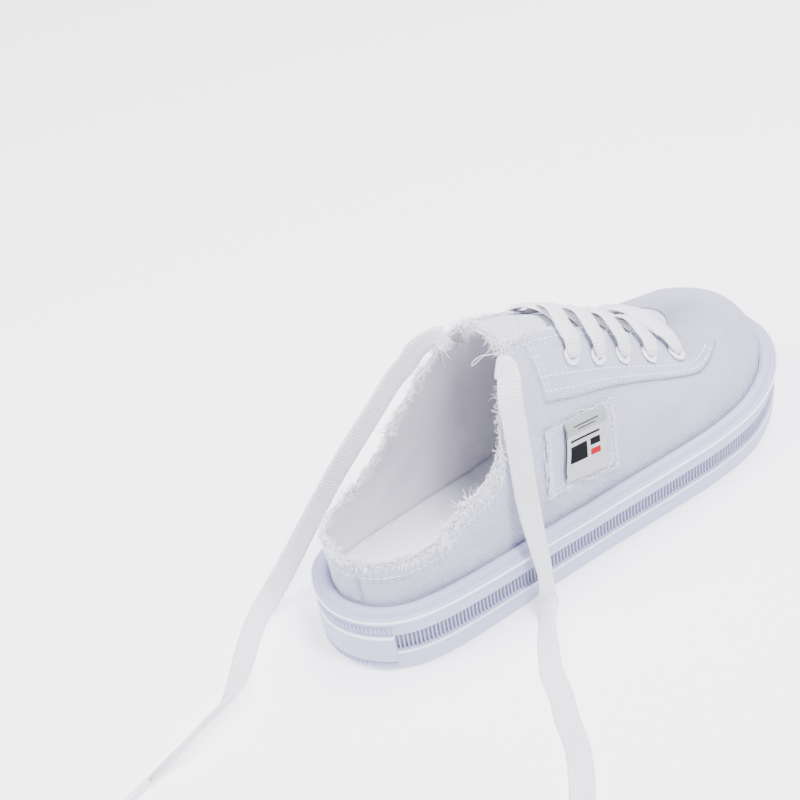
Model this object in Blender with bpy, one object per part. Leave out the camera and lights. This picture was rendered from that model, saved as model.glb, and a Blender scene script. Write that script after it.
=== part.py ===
"""Right low-backed canvas sneaker: moulded sole, hollow upper, tongue, insole, laces and trims.

Metres, +Z up, +Y to the toe, +X to the outer side of the foot.  The origin is under the
middle of the sole, on the floor.
"""
import math

import bmesh
import bpy
import numpy as np
from mathutils import Vector

# Sole sizes
LENGTH = 0.262
BALL_WIDTH = 0.0927
SOLE_HEEL_HEIGHT = 0.0288
SOLE_WAIST_HEIGHT = 0.0255
SOLE_TOE_HEIGHT = 0.0285
TOE_SPRING = 0.0070
CUP_DEPTH = 0.0065
BEAD_HEIGHT = 0.0022
BEAD_INSET = 0.0076
GROOVE_DEPTH = 0.0022
RIB_DEPTH = 0.0011
RIB_PITCH = 0.0023
TREAD_GROOVE_WIDTH = 0.0030
TREAD_GROOVE_DEPTH = 0.0016
TREAD_PITCH = 0.0110
TREAD_MARGIN = 0.0085
BUMPER_HALF_ARC = 0.036
GROOVE_END_GAP = 0.030

# Upper sizes
WALL = 0.0018
CLEARANCE = 0.0004
CROWN_HEIGHT = 0.1170
COLLAR_HEEL_HEIGHT = 0.0520
COLLAR_TOP_HEIGHT = 0.1120
EYESTAY_STEP = 0.0008
FULLNESS = 2.15

# Tongue, insole and trims
TONGUE_THICKNESS = 0.0022
TONGUE_TUCK = 0.0048
INSOLE_THICKNESS = 0.0040
EYELET_HOLE_RADIUS = 0.0025
EYELET_FLANGE_RADIUS = 0.0043
EYELET_FLANGE_HEIGHT = 0.0010
LACE_WIDTH = 0.0095
LACE_THICKNESS = 0.0012
AGLET_LENGTH = 0.021
AGLET_RADIUS = 0.0016
PATCH_SIZE = (0.0365, 0.0302)
LABEL_SIZE = (0.0220, 0.0272)
PLATE_THICKNESS = 0.0007
FRINGE_HEIGHT = 0.0026
FRINGE_THICKNESS = 0.0011

# Shares of the ball's half width and of the length, from the heel round the outer side
OUTLINE = (
    (-0.06, 0.000), (0.27, 0.016), (0.52, 0.057), (0.66, 0.120), (0.745, 0.235), (0.79, 0.350),
    (0.86, 0.475), (0.945, 0.600), (1.00, 0.710), (0.965, 0.810), (0.745, 0.905), (0.365, 0.975),
    (-0.10, 1.000), (-0.50, 0.975), (-0.81, 0.916), (-0.985, 0.820), (-1.00, 0.725), (-0.91, 0.610),
    (-0.81, 0.490), (-0.77, 0.360), (-0.775, 0.235), (-0.765, 0.120), (-0.655, 0.055), (-0.40, 0.016),
)
TOE_POINT = 12
# Shares of the length with shares of the crown's height above the floor
CROWN = ((0.00, 1.090), (0.20, 1.060), (0.35, 1.012), (0.42, 0.962), (0.46, 0.920), (0.50, 0.868),
         (0.54, 0.808), (0.58, 0.744), (0.62, 0.682), (0.66, 0.620), (0.69, 0.580), (0.72, 0.552))
# Shares of the length with shares of the rise from the low heel collar to its top corner
COLLAR_OUTER = ((0.00, 0.00), (0.120, 0.00), (0.155, 0.01), (0.175, 0.08), (0.200, 0.150), (0.225, 0.18),
                (0.255, 0.215), (0.280, 0.30), (0.295, 0.46), (0.312, 0.65), (0.332, 0.82), (0.352, 0.96),
                (0.375, 1.08), (0.410, 1.30))
COLLAR_INNER = ((0.00, 0.00), (0.08, -0.03), (0.13, -0.01), (0.17, 0.07), (0.205, 0.20), (0.240, 0.38),
                (0.275, 0.56), (0.305, 0.74), (0.330, 0.90), (0.360, 1.05), (0.400, 1.30))
HEEL_FAN = 0.15
VAMP_FAN = 0.7176
SPINE_TOE_SHIFT = -0.0030
# Shares of the length with half widths of the throat
THROAT = ((0.35, 0.0112), (0.50, 0.0115), (0.72, 0.0125))
# Shares of the length with distances of the eyelets from the throat's centre line
EYELETS = ((0.469, 0.0190), (0.522, 0.0207), (0.576, 0.0217), (0.636, 0.0228), (0.701, 0.0240))
TONGUE_TOP = 0.360
TONGUE_ROOT = 0.778
EYESTAY_REAR = 0.390
# Shares of the length with distances from the throat's centre line to the eyestay's lower edge
EYESTAY_EDGE = ((0.39, 0.0235), (0.50, 0.0265), (0.59, 0.0290), (0.67, 0.0315), (0.72, 0.0330), (0.80, 0.0330))
PATCH_CENTRE = (0.4347, 0.0554)
PATCH_TILT = math.radians(-7.0)
LABEL_CENTRE = (0.442, 0.0562)
LABEL_TILT = math.radians(-8.0)

# Outer lace end: share of the length where it leaves over the collar, then the centre of the
# band and the way its width points, down to the floor and forward over it
OUTER_LACE_RIM = 0.338
OUTER_LACE_ROUTE = (
    ((0.0220, -0.0450, 0.1035), (0.20, 0.70, 0.60)),
    ((0.0255, -0.0485, 0.0970), (0.50, 0.80, 0.15)),
    ((0.0285, -0.0502, 0.0850), (0.57, 0.82, 0.00)),
    ((0.0305, -0.0510, 0.0710), (0.55, 0.84, 0.00)),
    ((0.0325, -0.0520, 0.0570), (0.50, 0.86, 0.00)),
    ((0.0350, -0.0527, 0.0440), (0.30, 0.95, 0.00)),
    ((0.0378, -0.0532, 0.0330), (0.00, 1.00, 0.00)),
    ((0.0402, -0.0536, 0.0220), (-0.30, 0.95, 0.05)),
    ((0.0418, -0.0545, 0.0125), (-0.30, 0.90, 0.30)),
    ((0.0440, -0.0570, 0.0065), (-0.10, 0.80, 0.55)),
    ((0.0482, -0.0615, 0.0044), (0.15, 0.72, 0.66)),
    ((0.0540, -0.0680, 0.0038), (0.35, 0.70, 0.60)),
    ((0.0610, -0.0745, 0.0026), (0.50, 0.75, 0.36)),
    ((0.0690, -0.0810, 0.0012), (0.58, 0.80, 0.05)),
    ((0.0790, -0.0865, 0.0010), (0.52, 0.85, 0.00)),
    ((0.0894, -0.0940, 0.0010), (0.55, 0.83, 0.00)),
    ((0.1010, -0.1010, 0.0010), (0.57, 0.82, 0.00)),
    ((0.1124, -0.1110, 0.0010), (0.70, 0.71, 0.00)),
    ((0.1230, -0.1225, 0.0010), (0.72, 0.69, 0.00)),
    ((0.1340, -0.1340, 0.0010), (0.72, 0.69, 0.00)),
    ((0.1450, -0.1455, 0.0012), (0.72, 0.69, 0.00)),
)
# Inner lace end: over the collar, down beside the inner quarter and back over the floor
INNER_LACE_RIM = 0.330
INNER_LACE_ROUTE = (
    ((-0.0236, -0.0512, 0.1028), (-0.05, -0.25, 0.95)),
    ((-0.0270, -0.0560, 0.0955), (-0.20, -0.40, 0.88)),
    ((-0.0310, -0.0620, 0.0880), (-0.28, -0.47, 0.84)),
    ((-0.0335, -0.0745, 0.0755), (-0.28, -0.47, 0.84)),
    ((-0.0358, -0.0865, 0.0640), (-0.28, -0.47, 0.84)),
    ((-0.0382, -0.0985, 0.0510), (-0.28, -0.50, 0.80)),
    ((-0.0412, -0.1075, 0.0385), (-0.30, -0.55, 0.75)),
    ((-0.0440, -0.1150, 0.0275), (-0.35, -0.60, 0.65)),
    ((-0.0470, -0.1225, 0.0160), (-0.50, -0.62, 0.50)),
    ((-0.0495, -0.1300, 0.0065), (-0.75, -0.45, 0.35)),
    ((-0.0475, -0.1400, 0.0018), (-0.88, -0.42, 0.05)),
    ((-0.0400, -0.1505, 0.0010), (-0.72, -0.69, 0.00)),
    ((-0.0310, -0.1610, 0.0010), (-0.70, -0.71, 0.00)),
    ((-0.0235, -0.1700, 0.0016), (-0.72, -0.62, -0.18)),
    ((-0.0180, -0.1790, 0.0036), (-0.50, -0.25, -0.78)),
    ((-0.0148, -0.1900, 0.0046), (-0.33, -0.08, -0.93)),
    ((-0.0125, -0.2020, 0.0042), (-0.55, -0.08, -0.80)),
    ((-0.0108, -0.2130, 0.0026), (-0.88, -0.10, -0.42)),
    ((-0.0094, -0.2220, 0.0018), (-0.98, -0.12, -0.10)),
)
FRINGE_END = 0.318
LACE_FULL_WIDTH = 0.045
LACE_TAPER_START = 0.93


def clear_scene():
    for item in list(bpy.data.objects):
        bpy.data.objects.remove(item, do_unlink=True)


def material(name, colour, roughness, metallic=0.0):
    finish = bpy.data.materials.new(name)
    finish.use_nodes = True
    shader = finish.node_tree.nodes["Principled BSDF"]
    shader.inputs["Base Color"].default_value = (*colour, 1.0)
    shader.inputs["Roughness"].default_value = roughness
    shader.inputs["Metallic"].default_value = metallic
    return finish


def add_object(name, mesh, finish):
    mesh.materials.append(finish)
    item = bpy.data.objects.new(name, mesh)
    bpy.context.collection.objects.link(item)
    return item


def mesh_from(name, vertices, faces):
    mesh = bpy.data.meshes.new(name)
    mesh.from_pydata([tuple(float(value) for value in vertex) for vertex in vertices], [], faces)
    body = bmesh.new()
    body.from_mesh(mesh)
    bmesh.ops.triangulate(body, faces=body.faces)
    bmesh.ops.recalc_face_normals(body, faces=body.faces)
    body.to_mesh(mesh)
    body.free()
    return mesh


def round_off(item, angle_degrees=35.0):
    item.data.shade_smooth()
    item.data.set_sharp_from_angle(angle=math.radians(angle_degrees))


def lookup(table, share):
    shares, values = zip(*table)
    return np.interp(share, shares, values)


def eased(table, share):
    """Table value at a share of the length, with the corners of the table rounded."""
    spread = 0.012
    return 0.25 * lookup(table, share - spread) + 0.5 * lookup(table, share) + 0.25 * lookup(table, share + spread)


# Plan outline

def closed_curve(points, steps):
    """Points of a closed smooth curve through the given points (Catmull-Rom)."""
    count = len(points)
    curve = []
    for index in range(count):
        before, start, end, after = (np.array(points[(index + shift) % count]) for shift in (-1, 0, 1, 2))
        for step in range(steps):
            t = step / steps
            curve.append(0.5 * (2 * start + (end - before) * t
                                + (2 * before - 5 * start + 4 * end - after) * t ** 2
                                + (3 * start - before - 3 * end + after) * t ** 3))
    return np.array(curve)


class Outline:
    """The sole's plan outline, read by side and by share of that side's run from heel to toe."""

    def __init__(self):
        steps = 24
        points = [(share_x * BALL_WIDTH / 2, (share_y - 0.5) * LENGTH) for share_x, share_y in OUTLINE]
        curve = closed_curve(points, steps)
        tangent = np.roll(curve, -1, axis=0) - np.roll(curve, 1, axis=0)
        tangent /= np.linalg.norm(tangent, axis=1)[:, None]
        outward = np.stack([tangent[:, 1], -tangent[:, 0]], axis=1)
        toe = TOE_POINT * steps
        outer = np.arange(0, toe + 1)
        inner = np.arange(len(curve), toe - 1, -1) % len(curve)
        self.sides = []
        for order in (outer, inner):
            run = np.concatenate([[0.0], np.cumsum(np.linalg.norm(np.diff(curve[order], axis=0), axis=1))])
            self.sides.append((run, curve[order], outward[order]))

    def run_length(self, side):
        return self.sides[side][0][-1]

    def at(self, side, fraction):
        run, points, outward = self.sides[side]
        place = fraction * run[-1]
        point = np.array([np.interp(place, run, points[:, axis]) for axis in (0, 1)])
        normal = np.array([np.interp(place, run, outward[:, axis]) for axis in (0, 1)])
        return point, normal / np.linalg.norm(normal)

    def fraction_at(self, side, share):
        """Share of the side's run where it reaches a share of the shoe's length."""
        run, points, _ = self.sides[side]
        return np.interp((share - 0.5) * LENGTH, points[:, 1], run / run[-1])


PLAN = Outline()


def columns(fractions_outer, fractions_inner):
    """Columns round the whole outline: up the outer side to the toe, back down the inner side."""
    ring = [(0, fraction) for fraction in fractions_outer]
    ring += [(1, fraction) for fraction in reversed(fractions_inner[1:-1])]
    return ring


def length_share(y):
    return y / LENGTH + 0.5


def rim_height(share):
    return np.interp(share, (0.10, 0.42, 0.72, 1.0),
                     (SOLE_HEEL_HEIGHT, SOLE_WAIST_HEIGHT, SOLE_WAIST_HEIGHT + 0.0005, SOLE_TOE_HEIGHT))


def tread_height(share):
    spring_start = 0.74
    return TOE_SPRING * np.clip((share - spring_start) / (1 - spring_start), 0, 1) ** 2


# Sole

def sole_fractions(side, even_count):
    """Even shares of a side's run, with close pairs at the heel bumper's and the groove's ends."""
    run = PLAN.run_length(side)
    step = 0.0005 / run
    breaks = (BUMPER_HALF_ARC / run, 1 - GROOVE_END_GAP / run)
    fractions = [value for value in np.linspace(0, 1, even_count + 1)
                 if min(abs(value - place) for place in breaks) > 0.0018 / run]
    for place in breaks:
        fractions += [place - step, place + step]
    return sorted(fractions)


def sole_zone(side, fraction):
    run = PLAN.run_length(side)
    if fraction * run < BUMPER_HALF_ARC:
        return "bumper"
    if (1 - fraction) * run < GROOVE_END_GAP:
        return "plain"
    return "groove"


def sole_profile(zone, share):
    """Inset and height of the side wall's rows at one column, from the tread to the cup's floor."""
    low = tread_height(share)
    rim = rim_height(share)
    tall = rim - low
    lower_line = 0.0005
    band = 0.0011
    floor = band + GROOVE_DEPTH
    if zone == "bumper":
        middle = [(band, 0.20), (0.0, 0.22), (0.0, 0.40), (0.0, 0.41), (0.0, 0.66), (0.0, 0.69), (band, 0.71)]
    elif zone == "groove":
        middle = [(band, 0.33), (lower_line, 0.35), (lower_line, 0.40), (floor, 0.41), (floor, 0.68),
                  (band, 0.69), (band, 0.71)]
    else:
        middle = [(band, 0.33), (lower_line, 0.35), (lower_line, 0.40), (band, 0.41), (band, 0.66),
                  (band, 0.69), (band, 0.71)]
    rows = [(0.0030, low), (0.0013, low + 0.0016)]
    rows += [(inset, low + part * tall) for inset, part in middle]
    rows += [(band, low + 0.88 * tall), (0.0, low + 0.90 * tall), (0.0, rim - 0.0003),
             (BEAD_INSET - 0.0050, rim + 0.0001), (BEAD_INSET - 0.0040, rim + 0.8 * BEAD_HEIGHT),
             (BEAD_INSET - 0.0016, rim + BEAD_HEIGHT), (BEAD_INSET, rim + 0.2 * BEAD_HEIGHT),
             (BEAD_INSET, rim - CUP_DEPTH)]
    return rows


GROOVE_FLOOR_LOW = 5
GROOVE_FLOOR_HIGH = 6


def make_sole(finish):
    even = 34
    fractions = [sole_fractions(side, even) for side in (0, 1)]
    ring = columns(*fractions)
    count = len(ring)
    vertices = []
    zones = []
    places = []
    for side, fraction in ring:
        point, outward = PLAN.at(side, fraction)
        zones.append(sole_zone(side, fraction))
        places.append((point, outward))
        for inset, height in sole_profile(zones[-1], length_share(point[1])):
            vertices.append((*(point - outward * inset), height))
    rows = len(vertices) // count
    faces = []

    def corner(column, row):
        return (column % count) * rows + row

    def quad(column, low, high):
        after = column + 1
        faces.append((corner(column, low), corner(after, low), corner(after, high), corner(column, high)))

    for column in range(count):
        ribbed = zones[column] == "groove" and zones[(column + 1) % count] == "groove"
        for row in range(rows - 1):
            near_groove = GROOVE_FLOOR_LOW - 1 <= row <= GROOVE_FLOOR_HIGH
            if not (ribbed and near_groove):
                quad(column, row, row + 1)
        if ribbed:
            add_ribs(vertices, faces, places, column, count, corner)
    for index in range(1, count // 2):
        a, b = index, index + 1
        c, d = count - b, count - a
        for row, flip in ((0, True), (rows - 1, False)):
            face = [corner(a, row), corner(b, row), corner(c, row), corner(d, row)]
            if b == c:
                face = [corner(a, row), corner(b, row), corner(d, row)]
            faces.append(tuple(reversed(face)) if flip else tuple(face))
    for row, flip in ((0, True), (rows - 1, False)):
        face = (corner(0, row), corner(1, row), corner(count - 1, row))
        faces.append(tuple(reversed(face)) if flip else face)
    sole = add_object("sole", mesh_from("sole", vertices, faces), finish)
    cut_tread(sole)
    round_off(sole)
    return sole


def add_ribs(vertices, faces, places, column, count, corner):
    """Upright ribs on the side groove's floor between one column and the next."""
    after = (column + 1) % count
    (start, start_out), (end, end_out) = places[column], places[after]
    ribs = max(1, round(np.linalg.norm(end - start) / RIB_PITCH))
    steps = 2 * ribs
    low = [corner(column, GROOVE_FLOOR_LOW)]
    high = [corner(column, GROOVE_FLOOR_HIGH)]
    for step in range(1, steps):
        part = step / steps
        raised = RIB_DEPTH if step % 2 else 0.0
        for chain, row in ((low, GROOVE_FLOOR_LOW), (high, GROOVE_FLOOR_HIGH)):
            a = np.array(vertices[corner(column, row)])
            b = np.array(vertices[corner(after, row)])
            outward = start_out * (1 - part) + end_out * part
            spot = a * (1 - part) + b * part
            spot[:2] += outward * raised
            chain.append(len(vertices))
            vertices.append(tuple(spot))
    low.append(corner(after, GROOVE_FLOOR_LOW))
    high.append(corner(after, GROOVE_FLOOR_HIGH))
    for step in range(steps):
        faces.append((low[step], low[step + 1], high[step + 1], high[step]))
    below = (corner(column, GROOVE_FLOOR_LOW - 1), corner(after, GROOVE_FLOOR_LOW - 1))
    above = (corner(column, GROOVE_FLOOR_HIGH + 1), corner(after, GROOVE_FLOOR_HIGH + 1))
    half = steps // 2
    for step in range(steps):
        anchor = 0 if step < half else 1
        faces.append((below[anchor], low[step + 1], low[step]))
        faces.append((above[anchor], high[step], high[step + 1]))
    faces.append((below[0], below[1], low[half]))
    faces.append((above[1], above[0], high[half]))


def cut_tread(sole):
    """Cross grooves that leave the tread's main lugs."""
    bars = bmesh.new()
    first = -LENGTH / 2 + 0.020
    last = LENGTH / 2 - 0.022
    bar_count = int((last - first) / TREAD_PITCH)
    waist = (0.36, 0.50)
    for index in range(bar_count + 1):
        y = first + index * TREAD_PITCH
        share = length_share(y)
        if waist[0] < share < waist[1]:
            continue
        outer = PLAN.at(0, PLAN.fraction_at(0, share))[0][0] - TREAD_MARGIN
        inner = PLAN.at(1, PLAN.fraction_at(1, share))[0][0] + TREAD_MARGIN
        low = tread_height(share)
        box = bmesh.ops.create_cube(bars, size=1.0)["verts"]
        bmesh.ops.scale(bars, verts=box, vec=(outer - inner, TREAD_GROOVE_WIDTH, 2 * TREAD_GROOVE_DEPTH))
        bmesh.ops.translate(bars, verts=box, vec=((outer + inner) / 2, y, low))
    mesh = bpy.data.meshes.new("tread_cutter")
    bars.to_mesh(mesh)
    bars.free()
    cutter = bpy.data.objects.new("tread_cutter", mesh)
    bpy.context.collection.objects.link(cutter)
    cutter.hide_render = True
    cutter.display_type = "WIRE"
    cut = sole.modifiers.new("tread", "BOOLEAN")
    cut.operation = "DIFFERENCE"
    cut.object = cutter


# Last: the foot's form that upper, tongue, trims and laces follow

def spine_x(share):
    return SPINE_TOE_SHIFT * np.clip((share - 0.45) / (VAMP_FAN - 0.45), 0, 1)


def spine_point(share):
    """Plan place of the crown that a wall column leans towards."""
    held = float(np.clip(share, HEEL_FAN, VAMP_FAN))
    return np.array([spine_x(held), (held - 0.5) * LENGTH])


def crown_height(share):
    return eased(CROWN, float(np.clip(share, 0, VAMP_FAN))) * CROWN_HEIGHT


FEATHER_INSET = BEAD_INSET + CLEARANCE


class Last:
    """Upper's outer surface over the feather line, by column or by place."""

    def __init__(self):
        self.feet = []
        for side in (0, 1):
            points = []
            for fraction in np.linspace(0, 1, 160):
                point, outward = PLAN.at(side, fraction)
                points.append(point - outward * FEATHER_INSET)
            self.feet.append(np.array(points))

    def column(self, side, fraction):
        point, outward = PLAN.at(side, fraction)
        foot = point - outward * FEATHER_INSET
        share = length_share(foot[1])
        spine = spine_point(share)
        return foot, spine, rim_height(length_share(point[1])), crown_height(share)

    def on_column(self, column, angle):
        """Surface point at an angle from the feather line, 0, to the crown, a quarter turn."""
        foot, spine, base, crown = column
        reach = 1 - math.cos(angle) ** (2 / FULLNESS)
        rise = math.sin(angle) ** (2 / FULLNESS)
        plan = foot + (spine - foot) * reach
        return np.array([plan[0], plan[1], base + (crown - base) * rise])

    def half_width(self, x, y):
        """Plan distance from the crown to the feather line through a place."""
        share = length_share(y)
        spine = spine_point(share)
        side = 0 if x >= spine[0] else 1
        feet = self.feet[side]
        if share <= VAMP_FAN:
            edge = np.interp(y, feet[:, 1], feet[:, 0])
            return abs(edge - spine[0])
        away = feet - spine
        bearing = np.arctan2(np.abs(away[:, 0]), away[:, 1])
        here = math.atan2(abs(x - spine[0]), y - spine[1])
        order = np.argsort(bearing)
        return np.interp(here, bearing[order], np.linalg.norm(away, axis=1)[order])

    def height(self, x, y):
        share = length_share(y)
        spine = spine_point(share)
        part = min(math.hypot(x - spine[0], y - spine[1]) / self.half_width(x, y), 0.999)
        base = rim_height(share)
        return base + (crown_height(share) - base) * (1 - part ** FULLNESS) ** (1 / FULLNESS)

    def side_point(self, y, z):
        """Point of the outer wall at a height, on the outer side of the shoe."""
        share = length_share(y)
        spine = spine_point(share)
        base = rim_height(share)
        rise = np.clip((z - base) / (crown_height(share) - base), 0, 1)
        part = (1 - rise ** FULLNESS) ** (1 / FULLNESS)
        return np.array([spine[0] + part * self.half_width(spine[0] + 0.001, y), y, z])

    def normal(self, x, y, step=0.0008):
        slope_x = (self.height(x + step, y) - self.height(x - step, y)) / (2 * step)
        slope_y = (self.height(x, y + step) - self.height(x, y - step)) / (2 * step)
        upward = np.array([-slope_x, -slope_y, 1.0])
        return upward / np.linalg.norm(upward)


LAST = Last()


def collar_height(side, share):
    table = COLLAR_INNER if side else COLLAR_OUTER
    rise = eased(table, share) if share > 0.05 else lookup(table, share)
    return COLLAR_HEEL_HEIGHT + (COLLAR_TOP_HEIGHT - COLLAR_HEEL_HEIGHT) * rise


def edge_angle(side, column):
    """Angle at which a column of the upper ends, at the collar or at the throat."""
    foot, spine, base, crown = column
    share = length_share(foot[1])
    quarter = math.pi / 2
    throat = lookup(THROAT, share) / np.linalg.norm(foot - spine)
    throat_angle = math.acos(min(throat, 0.9) ** (FULLNESS / 2))
    if share > 0.42:
        return throat_angle
    rise = (collar_height(side, share) - base) / (crown - base)
    collar_angle = math.asin(min(rise, 1.0) ** (FULLNESS / 2)) if rise < 1 else quarter
    return min(collar_angle, throat_angle)


def seam_angle(column):
    """Angle of the eyestay's lower edge on a column."""
    foot, spine, _, _ = column
    part = lookup(EYESTAY_EDGE, length_share(foot[1])) / np.linalg.norm(foot - spine)
    return math.acos(min(part, 0.93) ** (FULLNESS / 2))


def upper_fractions(side):
    """Shares of a side's run, closer together where the collar climbs to its top corner."""
    marks = [PLAN.fraction_at(side, share) for share in (0.0, 0.24, 0.38, 1.0)]
    counts = (9, 11, 22)
    marks[0] = 0.0
    marks[-1] = 1.0
    fractions = [0.0]
    for start, end, count in zip(marks, marks[1:], counts):
        fractions += list(np.linspace(start, end, count + 1)[1:])
    rear = PLAN.fraction_at(side, EYESTAY_REAR)
    gap = 0.0005 / PLAN.run_length(side)
    fractions = [value for value in fractions if abs(value - rear) > 4 * gap]
    return sorted(fractions + [rear - gap, rear + gap])


LOW_ROWS = 5
HIGH_ROWS = 4


def row_angles(side, column):
    """Angles of a column's rows; the two middle rows hold the eyestay's step."""
    top = edge_angle(side, column)
    share = length_share(column[0][1])
    seam = min(seam_angle(column), top * 0.75)
    blend = np.clip((share - 0.30) / 0.10, 0, 1)
    seam = seam * blend + 0.55 * top * (1 - blend)
    spread = 0.006
    low = [seam * (index / LOW_ROWS) ** 1.25 for index in range(LOW_ROWS)]
    high = [seam + spread + (top - seam - spread) * index / HIGH_ROWS for index in range(HIGH_ROWS + 1)]
    return low + [seam] + high


def eyestay_lift(share, row):
    """Height of the eyestay over the wall below it, fading out over the toe."""
    if row <= LOW_ROWS or share < EYESTAY_REAR:
        return 0.0
    return EYESTAY_STEP * float(np.clip((0.83 - share) / 0.06, 0, 1))


def make_upper(finish):
    ring = columns(*[upper_fractions(side) for side in (0, 1)])
    count = len(ring)
    base_grid = []
    shares = []
    for side, fraction in ring:
        column = LAST.column(side, fraction)
        shares.append(length_share(column[0][1]))
        foot, _, base, _ = column
        hem = np.array([foot[0], foot[1], base - CUP_DEPTH + CLEARANCE])
        base_grid.append([hem] + [LAST.on_column(column, angle) for angle in row_angles(side, column)])
    grid = np.array(base_grid)
    rows = grid.shape[1]
    round_way = np.roll(grid, -1, axis=0) - np.roll(grid, 1, axis=0)
    up_way = np.gradient(grid, axis=1)
    outward = np.cross(round_way, up_way)
    outward /= np.linalg.norm(outward, axis=2)[:, :, None]
    outer = grid.copy()
    for index in range(count):
        for row in range(rows):
            outer[index, row] += outward[index, row] * eyestay_lift(shares[index], row - 1)
    inner_rows = [row for row in range(rows) if row != LOW_ROWS + 1]
    inner = (grid - outward * WALL)[:, inner_rows]
    vertices = [point for column in outer for point in column]
    inner_start = len(vertices)
    vertices += [point for column in inner for point in column]
    inner_count = len(inner_rows)
    faces = []
    for index in range(count):
        after = (index + 1) % count
        for row in range(rows - 1):
            faces.append((index * rows + row, after * rows + row, after * rows + row + 1, index * rows + row + 1))
        for row in range(inner_count - 1):
            here = inner_start + index * inner_count + row
            there = inner_start + after * inner_count + row
            faces.append((here, here + 1, there + 1, there))
        here = inner_start + index * inner_count
        there = inner_start + after * inner_count
        faces.append((after * rows, index * rows, here, there))
        faces.append((index * rows + rows - 1, after * rows + rows - 1, there + inner_count - 1,
                      here + inner_count - 1))
    upper = add_object("upper", mesh_from("upper", vertices, faces), finish)
    pierce_eyelets(upper)
    round_off(upper)
    return upper


# Eyelets

def eyelet_places():
    """Side, place on the eyestay's surface and outward way of each eyelet, rear pair first."""
    places = []
    for index, (share, distance) in enumerate(EYELETS):
        y = (share - 0.5) * LENGTH
        for side, name in ((1, "outer"), (-1, "inner")):
            x = spine_x(share) + side * distance
            outward = LAST.normal(x, y, EYELET_FLANGE_RADIUS)
            point = np.array([x, y, LAST.height(x, y)])
            highest = 0.0
            for turn in np.linspace(0, 2 * math.pi, 12, endpoint=False):
                for radius in (0.5 * EYELET_FLANGE_RADIUS, EYELET_FLANGE_RADIUS):
                    around = (x + radius * math.cos(turn), y + radius * math.sin(turn))
                    spot = np.array([*around, LAST.height(*around)])
                    highest = max(highest, float(np.dot(spot - point, outward)))
            places.append((f"{name}_{index + 1}", point + outward * (EYESTAY_STEP + highest), outward))
    return places


def turn_to(outward):
    return Vector((0, 0, 1)).rotation_difference(Vector(outward)).to_matrix().to_4x4()


def pierce_eyelets(upper):
    holes = bmesh.new()
    sides = 8
    reach = 4 * WALL
    for _, point, outward in eyelet_places():
        drill = bmesh.ops.create_cone(holes, cap_ends=True, segments=sides, radius1=EYELET_HOLE_RADIUS,
                                      radius2=EYELET_HOLE_RADIUS, depth=reach)["verts"]
        bmesh.ops.transform(holes, matrix=turn_to(outward), verts=drill)
        bmesh.ops.translate(holes, verts=drill, vec=point)
    mesh = bpy.data.meshes.new("eyelet_cutter")
    holes.to_mesh(mesh)
    holes.free()
    cutter = bpy.data.objects.new("eyelet_cutter", mesh)
    bpy.context.collection.objects.link(cutter)
    cutter.hide_render = True
    cutter.display_type = "WIRE"
    cut = upper.modifiers.new("eyelets", "BOOLEAN")
    cut.operation = "DIFFERENCE"
    cut.object = cutter


def make_eyelets(finish):
    sides = 8
    barrel = EYELET_HOLE_RADIUS - CLEARANCE
    bore = barrel - 0.0004
    seat = CLEARANCE
    profile = ((bore, -WALL), (barrel, -WALL), (barrel, seat), (EYELET_FLANGE_RADIUS, seat),
               (EYELET_FLANGE_RADIUS - 0.0014, seat + EYELET_FLANGE_HEIGHT),
               (bore, seat + 0.6 * EYELET_FLANGE_HEIGHT))
    for name, point, outward in eyelet_places():
        vertices = []
        for index in range(sides):
            turn = 2 * math.pi * index / sides
            vertices += [(radius * math.cos(turn), radius * math.sin(turn), height) for radius, height in profile]
        size = len(profile)
        faces = []
        for index in range(sides):
            after = (index + 1) % sides
            for row in range(size):
                above = (row + 1) % size
                faces.append((index * size + row, after * size + row, after * size + above, index * size + above))
        mesh = mesh_from("eyelet_" + name, vertices, faces)
        mesh.transform(turn_to(outward))
        eyelet = add_object("eyelet_" + name, mesh, finish)
        eyelet.location = point
        round_off(eyelet)


# Sheets that lie on or under the last's surface

def sheet_mesh(name, top, bottom):
    """Closed sheet between two grids of points, the first one outermost."""
    rows, across = top.shape[:2]
    vertices = list(top.reshape(-1, 3)) + list(bottom.reshape(-1, 3))
    under = rows * across
    faces = []
    for row in range(rows - 1):
        for place in range(across - 1):
            a = row * across + place
            b = a + 1
            c = b + across
            d = a + across
            faces.append((a, b, c, d))
            faces.append((under + d, under + c, under + b, under + a))
    rim = [place for place in range(across - 1)]
    rim += [row * across + across - 1 for row in range(rows - 1)]
    rim += [(rows - 1) * across + place for place in range(across - 1, 0, -1)]
    rim += [row * across for row in range(rows - 1, 0, -1)]
    for index, here in enumerate(rim):
        there = rim[(index + 1) % len(rim)]
        faces.append((there, here, under + here, under + there))
    return mesh_from(name, vertices, faces)


def grid_outward(grid):
    """Outward way at each point of a grid whose rows run to the toe and columns to the outer side."""
    across = np.gradient(grid, axis=1)
    along = np.gradient(grid, axis=0)
    way = np.cross(across, along)
    return way / np.linalg.norm(way, axis=2)[:, :, None]


def tongue_grid():
    """Tongue's outer face just under the upper's inner face, from its top edge to its root."""
    rows = []
    for share in np.linspace(TONGUE_TOP, TONGUE_ROOT, 13):
        y = (share - 0.5) * LENGTH
        centre = spine_x(share)
        reach = lookup(THROAT, share) + TONGUE_TUCK
        narrowing = np.clip((share - 0.70) / (TONGUE_ROOT - 0.70), 0, 1) ** 2
        reach *= 1 - 0.25 * narrowing
        row = []
        for part in np.linspace(-1, 1, 7):
            x = centre + part * reach
            row.append((x, y, LAST.height(x, y)))
        rows.append(row)
    grid = np.array(rows)
    return grid - grid_outward(grid) * (WALL + 1.5 * CLEARANCE)


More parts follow.
